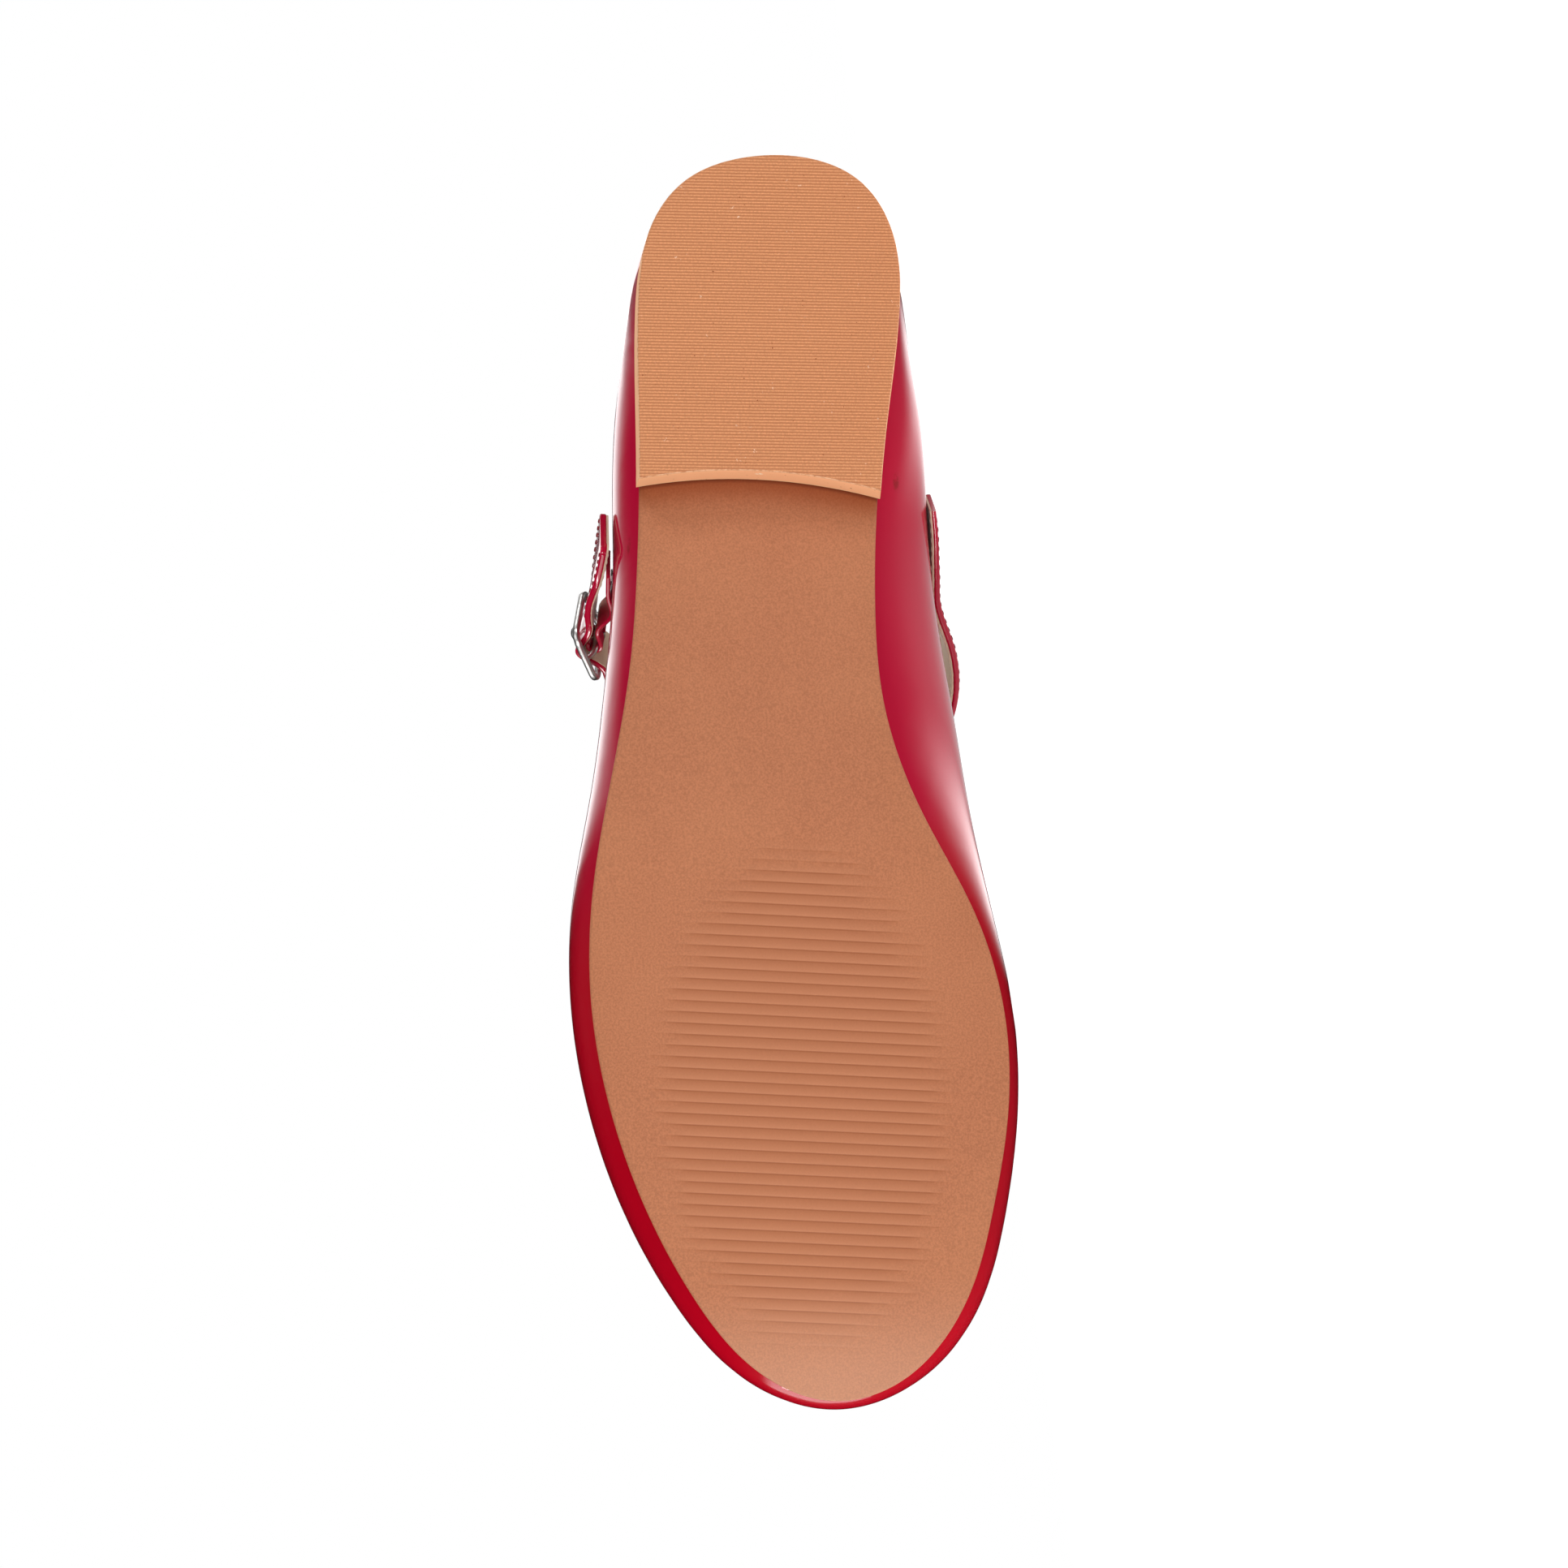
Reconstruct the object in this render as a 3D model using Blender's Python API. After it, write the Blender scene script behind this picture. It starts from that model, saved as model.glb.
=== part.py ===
"""A left ballet flat with an instep strap and buckle, lying on its medial side.

Everything is modelled in the shoe's own frame, in millimetres: x runs from the heel to the toe, y points to the
lateral (outer) side of a left foot and z points up from the tread. The shoe then lies down on its medial side.
"""

import math

import bpy
import numpy as np
from mathutils import Matrix, Vector

MM = 0.001

# Driving sizes of the shoe, in mm
HEEL_HEIGHT = 9.0
SOLE_THICKNESS = 3.0
TOE_SPRING = 8.0
WALL = 1.8
MEETING_GAP = 0.3
SEWN_GAP = 0.45

# The tread line, seen from the side
ARCH_START = 58.0
ARCH_END = 152.0
TOE_SPRING_START = 180.0
TOE_END = 248.2
TOE_SPRING_CURVE = 1.8

# The outsole's edge and the upper's foot
SOLE_EDGE_ROUND = 0.5
FEATHER_INSET = 1.0
LOWER_WALL_OUT = 0.42
LOWER_WALL_CLIMB = 0.25
RIM_HANDLE = 0.5
INSOLE_CLEARANCE = 0.9
INSOLE_THICKNESS = 2.4

# The heel block: its front face is hollow towards the heel
BREAST_LATERAL_X = 66.5
BREAST_MIDDLE_X = 65.9
BREAST_MEDIAL_X = 70.9
HEEL_FLARE = 0.6
HEEL_EDGE_ROUND = 0.5
HEEL_HALF_WIDTH = 28.0
HEEL_BREAST_STEPS = 12

# The strap and its buckle
STRAP_WIDTH = 11.0
STRAP_THICKNESS = 1.5
STRAP_SKIVE = 0.72
FRAME_ACROSS = 16.5
FRAME_ALONG = 14.5
FRAME_WIRE = 1.5
FRAME_CORNER = 2.6
CENTRE_BAR_DROP = 1.5
CENTRE_BAR_WIRE = 1.3
TAB_WIDTH = 8.0
TAB_THICKNESS = 0.9
PRONG_WIRE = 1.0

# The shoe's lying pose
LIE_LEAN = 6.95
LIE_YAW = 5.34

# The look of each piece: linear colour, roughness and metallic value
TAN = (0.50, 0.20, 0.10)
RED = (0.45, 0.004, 0.012)
STEEL = (0.62, 0.61, 0.60)
LOOKS = {
    "outsole": (TAN, 0.55, 0.0),
    "heel": (TAN, 0.5, 0.0),
    "upper": (RED, 0.08, 0.0),
    "insole": ((0.62, 0.48, 0.34), 0.7, 0.0),
    "strap": (RED, 0.1, 0.0),
    "buckle_tab": (RED, 0.12, 0.0),
    "buckle_frame": (STEEL, 0.2, 1.0),
    "buckle_prong": (STEEL, 0.22, 1.0),
}

# How finely the solids are faceted
AROUND = 112
ROWS_BELOW_RIM = 4
ROWS_ABOVE_RIM = 6

# One row for each section around the shoe. sole: the outsole's edge. rim: the upper's widest point. top: the
# topline. rise and reach: how far the section keeps its direction at the rim and at the topline. arrive: the
# section's slope where it reaches the topline, in degrees from level.
SECTION_COLUMNS = (
    "sole_x", "sole_y", "rim_x", "rim_y", "rim_z", "top_x", "top_y", "top_z", "rise", "reach", "arrive",
)
SECTIONS = {
    "heel_back": (1.6, 0.0, -4.6, 0.3, 27.0, 3.5, 0.3, 58.0, 11.0, 9.0, 72.0),
    "heel_back_lateral": (5.5, 16.8, 0.6, 16.8, 27.0, 7.8, 14.0, 57.4, 11.0, 9.0, 72.0),
    "counter_lateral": (15.0, 25.0, 11.2, 26.2, 27.0, 18.5, 21.8, 55.2, 11.0, 8.0, 72.0),
    "heel_lateral": (30.0, 28.4, 28.8, 30.9, 27.0, 34.0, 26.4, 51.8, 10.0, 7.0, 73.0),
    "seat_lateral": (46.0, 29.2, 46.0, 33.7, 27.0, 49.8, 29.4, 48.0, 9.0, 6.0, 74.0),
    "breast_lateral": (63.0, 29.7, 63.0, 35.2, 27.0, 66.0, 31.6, 44.5, 8.0, 5.0, 75.0),
    "waist_lateral": (83.0, 31.0, 83.0, 36.0, 26.0, 85.0, 33.6, 41.2, 7.0, 5.0, 75.0),
    "arch_lateral": (103.0, 33.3, 103.0, 38.4, 23.5, 105.0, 35.2, 38.8, 7.0, 5.0, 72.0),
    "joint_lateral": (126.0, 38.1, 126.0, 42.2, 19.5, 127.0, 36.6, 37.6, 7.0, 5.0, 62.0),
    "ball_lateral": (148.0, 42.6, 148.0, 46.8, 16.5, 147.0, 34.6, 37.6, 8.0, 6.0, 46.0),
    "tread_lateral": (169.5, 43.8, 169.5, 48.0, 15.2, 162.0, 29.2, 38.4, 9.0, 8.0, 32.0),
    "vamp_lateral": (190.0, 41.0, 190.5, 45.3, 15.2, 172.0, 22.6, 39.2, 10.0, 12.0, 22.0),
    "toebox_lateral": (209.0, 35.2, 210.5, 39.2, 15.6, 178.4, 15.6, 39.8, 11.0, 17.0, 16.0),
    "toe_side_lateral": (227.0, 26.5, 229.0, 29.8, 16.6, 182.2, 9.2, 40.2, 12.0, 22.0, 12.0),
    "toe_corner_lateral": (240.0, 16.7, 242.4, 18.8, 17.2, 184.0, 4.4, 40.4, 12.0, 26.0, 11.0),
    "toe": (248.2, 0.0, 250.6, -0.6, 17.6, 184.6, -1.0, 40.5, 12.0, 28.0, 10.0),
    "toe_corner_medial": (242.6, -16.5, 244.4, -19.3, 17.2, 184.0, -6.6, 40.4, 12.0, 26.0, 11.0),
    "toe_side_medial": (231.0, -25.8, 233.0, -29.2, 16.0, 182.0, -11.6, 40.2, 12.0, 22.0, 12.0),
    "toebox_medial": (213.0, -32.1, 214.0, -36.0, 15.4, 178.2, -17.6, 39.8, 11.0, 16.0, 16.0),
    "vamp_medial": (194.0, -36.0, 194.0, -39.5, 15.0, 172.0, -23.8, 39.2, 10.0, 11.0, 22.0),
    "tread_medial": (175.0, -36.3, 175.0, -39.8, 15.2, 162.0, -29.2, 38.6, 9.0, 8.0, 32.0),
    "ball_medial": (155.0, -31.5, 155.0, -37.2, 18.0, 148.4, -32.2, 38.2, 8.0, 6.0, 50.0),
    "joint_medial": (135.0, -22.5, 134.0, -34.6, 24.5, 131.0, -32.8, 38.8, 6.0, 4.0, 75.0),
    "arch_medial": (114.0, -16.6, 113.0, -33.0, 30.5, 112.0, -32.3, 40.0, 3.5, 3.0, 84.0),
    "waist_medial": (93.0, -16.0, 92.0, -30.9, 32.5, 92.5, -30.2, 41.6, 3.5, 3.0, 82.0),
    "breast_medial": (73.0, -17.6, 72.0, -29.9, 31.0, 73.0, -28.4, 44.2, 4.5, 4.0, 78.0),
    "seat_medial": (55.0, -20.2, 54.0, -29.6, 28.5, 57.0, -26.0, 47.4, 6.0, 5.0, 76.0),
    "heel_medial": (38.0, -23.1, 36.6, -27.8, 28.0, 41.0, -23.8, 50.8, 8.0, 6.0, 74.0),
    "counter_medial": (21.0, -23.6, 18.4, -25.6, 28.0, 25.0, -20.8, 54.4, 10.0, 8.0, 73.0),
    "heel_back_medial": (7.4, -16.9, 2.6, -17.8, 27.0, 9.8, -14.2, 57.2, 11.0, 9.0, 72.0),
}

# Where bands are sewn flat on the upper's outside. Columns: x along the shoe and z up it.
STRAP_SEWN = {
    "cut_end": (67.5, 30.5),
    "lower": (72.5, 33.4),
    "middle": (77.0, 36.1),
    "upper": (81.0, 38.5),
    "near_topline": (84.5, 40.6),
}
TAB_SEWN = {
    "cut_end": (78.5, 26.5),
    "lower": (80.3, 29.2),
    "middle": (82.3, 32.2),
    "near_topline": (84.6, 35.6),
}

# The strap's free stretches, over the instep and below the buckle. Columns: x, y, z, then the way outward.
STRAP_OVER_INSTEP = {
    "leaving_upper": (92.0, -34.0, 46.2, 0.0, -1.0, 0.1),
    "medial_bulge": (101.0, -35.2, 53.4, 0.1, -0.97, 0.3),
    "medial_shoulder": (110.0, -31.0, 61.6, 0.1, -0.8, 0.6),
    "instep_medial": (116.0, -18.0, 68.6, 0.05, -0.42, 0.9),
    "instep": (118.0, 0.0, 71.0, 0.0, 0.0, 1.0),
    "instep_lateral": (115.5, 17.0, 68.2, 0.05, 0.42, 0.9),
    "lateral_shoulder": (108.0, 29.6, 60.4, 0.1, 0.8, 0.6),
}
STRAP_TAIL = {
    "tail": (78.4, 39.0, 32.4, 0.0, 1.0, 0.1),
    "tip": (72.1, 37.2, 22.9, -0.05, 1.0, -0.05),
}
STRAP_STEPS = 84
TAB_STEPS = 30
PRONG_STEPS = 24

# The buckle's pose: its centre, the way down the strap and the way outward
BUCKLE_CENTRE = (90.0, 41.2, 45.4)
BUCKLE_ALONG = (-0.64, 0.30, -0.71)
BUCKLE_OUT = (0.09, 0.94, 0.32)
PRONG_SLOT_ALONG = 4.0
PRONG_SLOT_ACROSS = 2.2
PRONG_SLOT_SHIFT = -0.6


def clear_scene():
    for each in list(bpy.data.objects):
        bpy.data.objects.remove(each, do_unlink=True)


def closed_spline(knots, period, values):
    """The smooth closed cubic curve that passes through the values at the knots."""
    count = len(knots)
    gaps = np.diff(np.append(knots, knots[0] + period))
    slopes = (np.roll(values, -1, axis=0) - values) / gaps[:, None]
    matrix = np.zeros((count, count))
    for row in range(count):
        before = (row - 1) % count
        matrix[row, before] += gaps[before]
        matrix[row, row] += 2 * (gaps[before] + gaps[row])
        matrix[row, (row + 1) % count] += gaps[row]
    bends = np.linalg.solve(matrix, 6 * (slopes - np.roll(slopes, 1, axis=0)))

    def curve(where):
        where = np.mod(np.asarray(where, float), period)
        low = np.searchsorted(knots, where, side="right") - 1
        high = (low + 1) % count
        gap = gaps[low][:, None]
        past = where[:, None] - knots[low][:, None]
        left = gap - past
        cubic = (bends[low] * left**3 + bends[high] * past**3) / (6 * gap)
        line = (values[low] / gap - bends[low] * gap / 6) * left
        return cubic + line + (values[high] / gap - bends[high] * gap / 6) * past

    return curve


def open_spline(values, steps):
    """Points evenly spread along the smooth curve through the values, by chord length."""
    values = np.array(values, float)
    back = values[::-1][1:-1]
    loop = np.concatenate([values, back])
    lengths = np.linalg.norm(np.diff(np.vstack([loop, loop[:1]])[:, :3], axis=0), axis=1)
    knots = np.concatenate([[0.0], np.cumsum(lengths)[:-1]])
    curve = closed_spline(knots, lengths.sum(), loop)
    return curve(np.linspace(0.0, knots[len(values) - 1], steps + 1))


def section_curve():
    """The section columns as a closed curve round the shoe, with the toe's place and the whole length round."""
    table = np.array(list(SECTIONS.values()), float)
    rim = table[:, 2:4]
    lengths = np.linalg.norm(np.roll(rim, -1, axis=0) - rim, axis=1)
    knots = np.concatenate([[0.0], np.cumsum(lengths)[:-1]])
    toe = knots[list(SECTIONS).index("toe")]
    return closed_spline(knots, lengths.sum(), table), toe, lengths.sum()


def sections_around(count):
    """The section columns at evenly spread places: the lateral side to the toe, then the medial side back."""
    curve, toe, whole = section_curve()
    half = count // 2
    lateral = np.linspace(0.0, toe, half, endpoint=False)
    medial = np.linspace(toe, whole, half, endpoint=False)
    values = curve(np.concatenate([lateral, medial]))
    return dict(zip(SECTION_COLUMNS, values.T))


def smooth_step(value):
    value = np.clip(value, 0.0, 1.0)
    return value * value * (3.0 - 2.0 * value)


def tread_z(x):
    """The underside of the outsole: the heel seat, the arch, the flat tread and the toe spring."""
    arch = HEEL_HEIGHT * smooth_step((ARCH_END - x) / (ARCH_END - ARCH_START))
    spring = np.clip((x - TOE_SPRING_START) / (TOE_END - TOE_SPRING_START), 0.0, None)
    return arch + TOE_SPRING * spring**TOE_SPRING_CURVE


def inset(outline, distance):
    """A closed outline, lateral side first, moved inwards in plan."""
    along = np.roll(outline, -1, axis=0) - np.roll(outline, 1, axis=0)
    inward = np.stack([along[:, 1], -along[:, 0]], axis=1)
    return outline + distance * inward / np.linalg.norm(inward, axis=1)[:, None]


def with_z(outline, z):
    return np.column_stack([outline, np.broadcast_to(z, len(outline))])


def bezier(start, first, second, end, where):
    left = 1.0 - where
    return (
        start * left**3 + 3 * first * left**2 * where + 3 * second * left * where**2 + end * where**3
    )


def upper_outside(around):
    """Rings of the upper's outside, from the feather line up over the rim to the topline."""
    sole = np.column_stack([around["sole_x"], around["sole_y"]])
    foot = inset(sole, FEATHER_INSET)
    feather = with_z(foot, tread_z(foot[:, 0]) + SOLE_THICKNESS + MEETING_GAP)
    rim = np.column_stack([around["rim_x"], around["rim_y"], around["rim_z"]])
    top = np.column_stack([around["top_x"], around["top_y"], around["top_z"]])
    across = (rim - feather) * (1.0, 1.0, 0.0)
    climb = (rim - feather) * (0.0, 0.0, 1.0)
    leaving = feather + LOWER_WALL_OUT * across + LOWER_WALL_CLIMB * climb
    rings = [
        bezier(feather, leaving, rim - RIM_HANDLE * climb, rim, step / ROWS_BELOW_RIM)
        for step in range(ROWS_BELOW_RIM)
    ]
    plan = (top - rim) * (1.0, 1.0, 0.0)
    plan /= np.maximum(np.linalg.norm(plan, axis=1), 0.5)[:, None]
    slope = np.radians(around["arrive"])[:, None]
    arriving = plan * np.cos(slope) + np.array([0.0, 0.0, 1.0]) * np.sin(slope)
    rise = around["rise"][:, None] * np.array([0.0, 0.0, 1.0])
    reach = around["reach"][:, None] * arriving
    rings += [
        bezier(rim, rim + rise, top - reach, top, step / ROWS_ABOVE_RIM)
        for step in range(ROWS_ABOVE_RIM + 1)
    ]
    return np.array(rings)


def outward_normals(rings):
    """The outward direction at each point of rings that climb a wall, lateral side first."""
    around = np.roll(rings, -1, axis=1) - np.roll(rings, 1, axis=1)
    up = np.gradient(rings, axis=0)
    normal = np.cross(up, around)
    return normal / np.linalg.norm(normal, axis=2)[:, :, None], up


def upper_wall(around):
    """Closed rings of the hollow upper: up the outside, over the topline and down the inside."""
    outside = upper_outside(around)
    normals, up = outward_normals(outside)
    inside = outside - WALL * normals
    foot = inside[0] - up[0] * ((inside[0][:, 2] - outside[0][:, 2]) / up[0][:, 2])[:, None]
    return np.concatenate([outside, inside[::-1], foot[None]])


def material(name):
    colour, roughness, metallic = LOOKS[name]
    made = bpy.data.materials.new(name)
    made.use_nodes = True
    shader = made.node_tree.nodes["Principled BSDF"]
    shader.inputs["Base Color"].default_value = (*colour, 1.0)
    shader.inputs["Roughness"].default_value = roughness
    shader.inputs["Metallic"].default_value = metallic
    made.diffuse_color = (*colour, 1.0)
    return made


def solid(name, points, faces, lying):
    """One closed body from points in mm, with the look of its name. A cutter or a guide has none."""
    mesh = bpy.data.meshes.new(name)
    mesh.from_pydata([tuple(point) for point in np.asarray(points) * MM], [], faces)
    mesh.validate()
    mesh.shade_smooth()
    mesh.set_sharp_from_angle(angle=math.radians(40.0))
    if name in LOOKS:
        mesh.materials.append(material(name))
    made = bpy.data.objects.new(name, mesh)
    bpy.context.scene.collection.objects.link(made)
    made.parent = lying
    return made


def ring_faces(rings, around, closed):
    """Quads between neighbouring rings of points; closed joins the last ring to the first."""
    faces = []
    for ring in range(rings if closed else rings - 1):
        low = ring * around
        high = (ring + 1) % rings * around
        for step in range(around):
            after = (step + 1) % around
            faces.append((low + step, high + step, high + after, low + after))
    return faces


def ladder(first, around):
    """Rungs across a ring, from its heel end to its toe end."""
    half = around // 2
    faces = [(first, first + 1, first + around - 1)]
    for step in range(1, half - 1):
        faces.append((first + step, first + step + 1, first + around - step - 1, first + around - step))
    faces.append((first + half - 1, first + half, first + half + 1))
    return faces


def turned(faces):
    return [tuple(reversed(face)) for face in faces]


def plate(name, rings, lying):
    """A plate from rings that climb its edge, closed with rungs underneath and on top."""
    around = len(rings[0])
    faces = ring_faces(len(rings), around, closed=False)
    faces += ladder(0, around)
    faces += turned(ladder((len(rings) - 1) * around, around))
    return solid(name, np.concatenate(rings), faces, lying)


def make_upper(around, lying):
    rings = upper_wall(around)
    faces = ring_faces(len(rings), rings.shape[1], closed=True)
    return solid("upper", rings.reshape(-1, 3), faces, lying)


def make_outsole(around, lying):
    sole = np.column_stack([around["sole_x"], around["sole_y"]])
    eased = inset(sole, SOLE_EDGE_ROUND)
    under = tread_z(sole[:, 0])
    rings = [
        with_z(eased, tread_z(eased[:, 0])),
        with_z(sole, under + SOLE_EDGE_ROUND),
        with_z(sole, under + SOLE_THICKNESS - SOLE_EDGE_ROUND),
        with_z(eased, tread_z(eased[:, 0]) + SOLE_THICKNESS),
    ]
    return plate("outsole", rings, lying)


def make_insole(around, lying):
    """The insole fills the upper's foot, a little clear of the wall."""
    rings = upper_wall(around)
    foot = rings[-1]
    low_wall = rings[-2]
    high_wall = rings[-3]
    share = (INSOLE_THICKNESS - (low_wall - foot)[:, 2]) / (high_wall - low_wall)[:, 2]
    above = low_wall + (high_wall - low_wall) * np.clip(share, 0.0, 1.0)[:, None]
    low = inset(foot[:, :2], INSOLE_CLEARANCE)
    high = inset(above[:, :2], INSOLE_CLEARANCE)
    bed = tread_z(low[:, 0]) + SOLE_THICKNESS + MEETING_GAP
    return plate("insole", [with_z(low, bed), with_z(high, bed + INSOLE_THICKNESS)], lying)


def breast_x(y, lateral_y, medial_y):
    """The heel's hollow front, as a parabola across the shoe through its two corners and its middle."""
    middle_y = (lateral_y + medial_y) / 2
    half = (lateral_y - medial_y) / 2
    across = (y - middle_y) / half
    mean = (BREAST_LATERAL_X + BREAST_MEDIAL_X) / 2
    tilt = (BREAST_LATERAL_X - BREAST_MEDIAL_X) / 2
    return BREAST_MIDDLE_X + tilt * across + (mean - BREAST_MIDDLE_X) * across**2


def heel_outline(around):
    """The outsole's edge behind the breast, then across the breast from the lateral corner."""
    sole = np.column_stack([around["sole_x"], around["sole_y"]])
    half = len(sole) // 2
    lateral = sole[:half][sole[:half, 0] < BREAST_LATERAL_X - 1.0]
    medial = sole[half:][sole[half:, 0] < BREAST_MEDIAL_X - 1.0]
    lateral_y = np.interp(BREAST_LATERAL_X, sole[:half, 0], sole[:half, 1])
    medial_y = np.interp(-BREAST_MEDIAL_X, -sole[half:, 0], sole[half:, 1])
    across = np.linspace(lateral_y, medial_y, HEEL_BREAST_STEPS + 1)
    front = np.column_stack([breast_x(across, lateral_y, medial_y), across])
    return np.concatenate([lateral, front, medial])


def make_heel(around, lying):
    outline = heel_outline(around)
    count = len(outline)
    centre = outline.mean(axis=0)
    flare = 1.0 + HEEL_FLARE / HEEL_HALF_WIDTH
    widened = centre + (outline - centre) * flare
    widened[:, 0] = np.where(outline[:, 0] > centre[0], outline[:, 0], widened[:, 0])
    eased = centre + (outline - centre) * (1.0 - HEEL_EDGE_ROUND / HEEL_HALF_WIDTH)
    top = tread_z(widened[:, 0]) - MEETING_GAP
    rings = [with_z(eased, 0.0), with_z(outline, HEEL_EDGE_ROUND), with_z(widened, top)]
    faces = ring_faces(len(rings), count, closed=False)
    faces.append(tuple(range(count)))
    faces.append(tuple(reversed(range(2 * count, 3 * count))))
    return solid("heel", np.concatenate(rings), faces, lying)


def frames_along(path):
    """Points of a ribbon with its direction, its outward normal and its direction across."""
    points = path[:, :3]
    along = np.gradient(points, axis=0)
    along /= np.linalg.norm(along, axis=1)[:, None]
    out = path[:, 3:6] - along * np.sum(path[:, 3:6] * along, axis=1)[:, None]
    out /= np.linalg.norm(out, axis=1)[:, None]
    return points, along, out, np.cross(along, out)


def ribbon(path, width, thickness, corner):
    """Rings of a flat band with eased edges along a path, for a capped tube."""
    points, _, out, across = frames_along(path)
    half = width / 2
    rings = []
    for point, outward, sideways, deep in zip(points, out, across, np.broadcast_to(thickness / 2, len(points))):
        quarter = ((half - corner, deep), (half, deep - corner))
        below = [(side, -up) for side, up in reversed(quarter)]
        corners = [*quarter, *below]
        corners += [(-side, up) for side, up in reversed(corners)]
        rings.append([point + sideways * side + outward * up for side, up in corners])
    return np.array(rings)


def capped_tube(name, rings, lying):
    count, around = rings.shape[:2]
    faces = turned(ring_faces(count, around, closed=False))
    faces.append(tuple(reversed(range(around))))
    faces.append(tuple(range((count - 1) * around, count * around)))
    return solid(name, rings.reshape(-1, 3), faces, lying)


def wall_point(outside, normals, x, z, side):
    """The point of the upper's outside at x and z, on the lateral (+1) or medial (-1) side, and its normal."""
    half = outside.shape[1] // 2
    columns = range(1, half) if side > 0 else range(half + 1, outside.shape[1])
    level = np.array([
        [np.interp(z, outside[:, column, 2], values[:, column, axis]) for values, axis in (
            (outside, 0), (outside, 1), (normals, 0), (normals, 1), (normals, 2),
        )]
        for column in columns
    ])
    level = level[np.argsort(level[:, 0])]
    y, *normal = [np.interp(x, level[:, 0], level[:, index]) for index in range(1, 5)]
    return np.array([x, y, z]), np.array(normal)


def sewn_rows(outside, normals, rows, side, thickness):
    """Path rows of a band that lies flat on the upper."""
    stand_off = SEWN_GAP + thickness / 2
    found = [wall_point(outside, normals, x, z, side) for x, z in rows.values()]
    return [np.concatenate([point + stand_off * normal, normal]) for point, normal in found]


def buckle_frame_axes():
    along = np.array(BUCKLE_ALONG) / np.linalg.norm(BUCKLE_ALONG)
    out = np.array(BUCKLE_OUT) - along * np.dot(BUCKLE_OUT, along)
    out /= np.linalg.norm(out)
    return np.array(BUCKLE_CENTRE), along, out, np.cross(along, out)


def buckle_point(down, outward, sideways=0.0):
    """A point given by its distances from the buckle's centre."""
    centre, along, out, across = buckle_frame_axes()
    return centre + down * along + outward * out + sideways * across


def strap_path(outside, normals):
    """Rows from the sewn end, over the instep, over the centre bar and under both ends of the frame."""
    _, _, out, _ = buckle_frame_axes()
    under = -(FRAME_WIRE / 2 + MEETING_GAP + STRAP_THICKNESS / 2)
    loop = CENTRE_BAR_WIRE / 2 + TAB_THICKNESS + 2 * SEWN_GAP
    over = loop - CENTRE_BAR_DROP + STRAP_THICKNESS / 2
    reach = (FRAME_ALONG - FRAME_WIRE) / 2
    rows = sewn_rows(outside, normals, STRAP_SEWN, -1, STRAP_THICKNESS)
    rows[0][:3] -= (1.0 - STRAP_SKIVE) * STRAP_THICKNESS / 2 * rows[0][3:]
    rows += [np.array(row) for row in STRAP_OVER_INSTEP.values()]
    rows += [
        np.concatenate([buckle_point(down, outward), out])
        for down, outward in (
            (-reach - 0.8, under - 0.1), (1.0 - reach, under - 0.1), (0.0, over), (reach - 1.4, under - 0.5),
            (reach + 0.8, under - 1.3),
        )
    ]
    rows += [np.array(row) for row in STRAP_TAIL.values()]
    return open_spline(rows, STRAP_STEPS)


def tab_path(outside, normals):
    """Rows from the tab's sewn end up to the centre bar and three quarters of the way round it."""
    _, along, out, _ = buckle_frame_axes()
    rows = sewn_rows(outside, normals, TAB_SEWN, 1, TAB_THICKNESS)
    radius = CENTRE_BAR_WIRE / 2 + MEETING_GAP + TAB_THICKNESS / 2
    rows.append(np.concatenate([buckle_point(3.6, -CENTRE_BAR_DROP - radius - 0.5), out]))
    for turn in range(0, 226, 45):
        angle = math.radians(turn)
        away = -out * math.cos(angle) - along * math.sin(angle)
        point = buckle_point(0.0, -CENTRE_BAR_DROP) + radius * away
        rows.append(np.concatenate([point, -away]))
    return open_spline(rows, TAB_STEPS)


def round_tube(points, wire, corners=8):
    """Rings of a round wire along an open path."""
    points = np.array(points)
    along = np.gradient(points, axis=0)
    along /= np.linalg.norm(along, axis=1)[:, None]
    _, _, out, _ = buckle_frame_axes()
    side = np.cross(along, out)
    side /= np.linalg.norm(side, axis=1)[:, None]
    other = np.cross(side, along)
    angles = -np.arange(corners) * 2 * math.pi / corners
    return np.array([
        [point + wire / 2 * (math.cos(a) * one + math.sin(a) * two) for a in angles]
        for point, one, two in zip(points, side, other)
    ])


def make_strap(path, slot, lying):
    skived = STRAP_SKIVE + (1.0 - STRAP_SKIVE) * smooth_step(np.linspace(0.0, 8.0, len(path)))
    made = capped_tube("strap", ribbon(path, STRAP_WIDTH, STRAP_THICKNESS * skived, 0.35), lying)
    cut(made, slot)
    return made


def make_tab(path, slot, lying):
    made = capped_tube("buckle_tab", ribbon(path, TAB_WIDTH, TAB_THICKNESS, 0.25), lying)
    cut(made, slot)
    return made


def cut(made, cutter):
    boolean = made.modifiers.new("prong_slot", "BOOLEAN")
    boolean.operation = "DIFFERENCE"
    boolean.solver = "EXACT"
    boolean.object = cutter


def hide_guide(guide):
    guide.hide_render = True
    guide.display_type = "WIRE"


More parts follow.
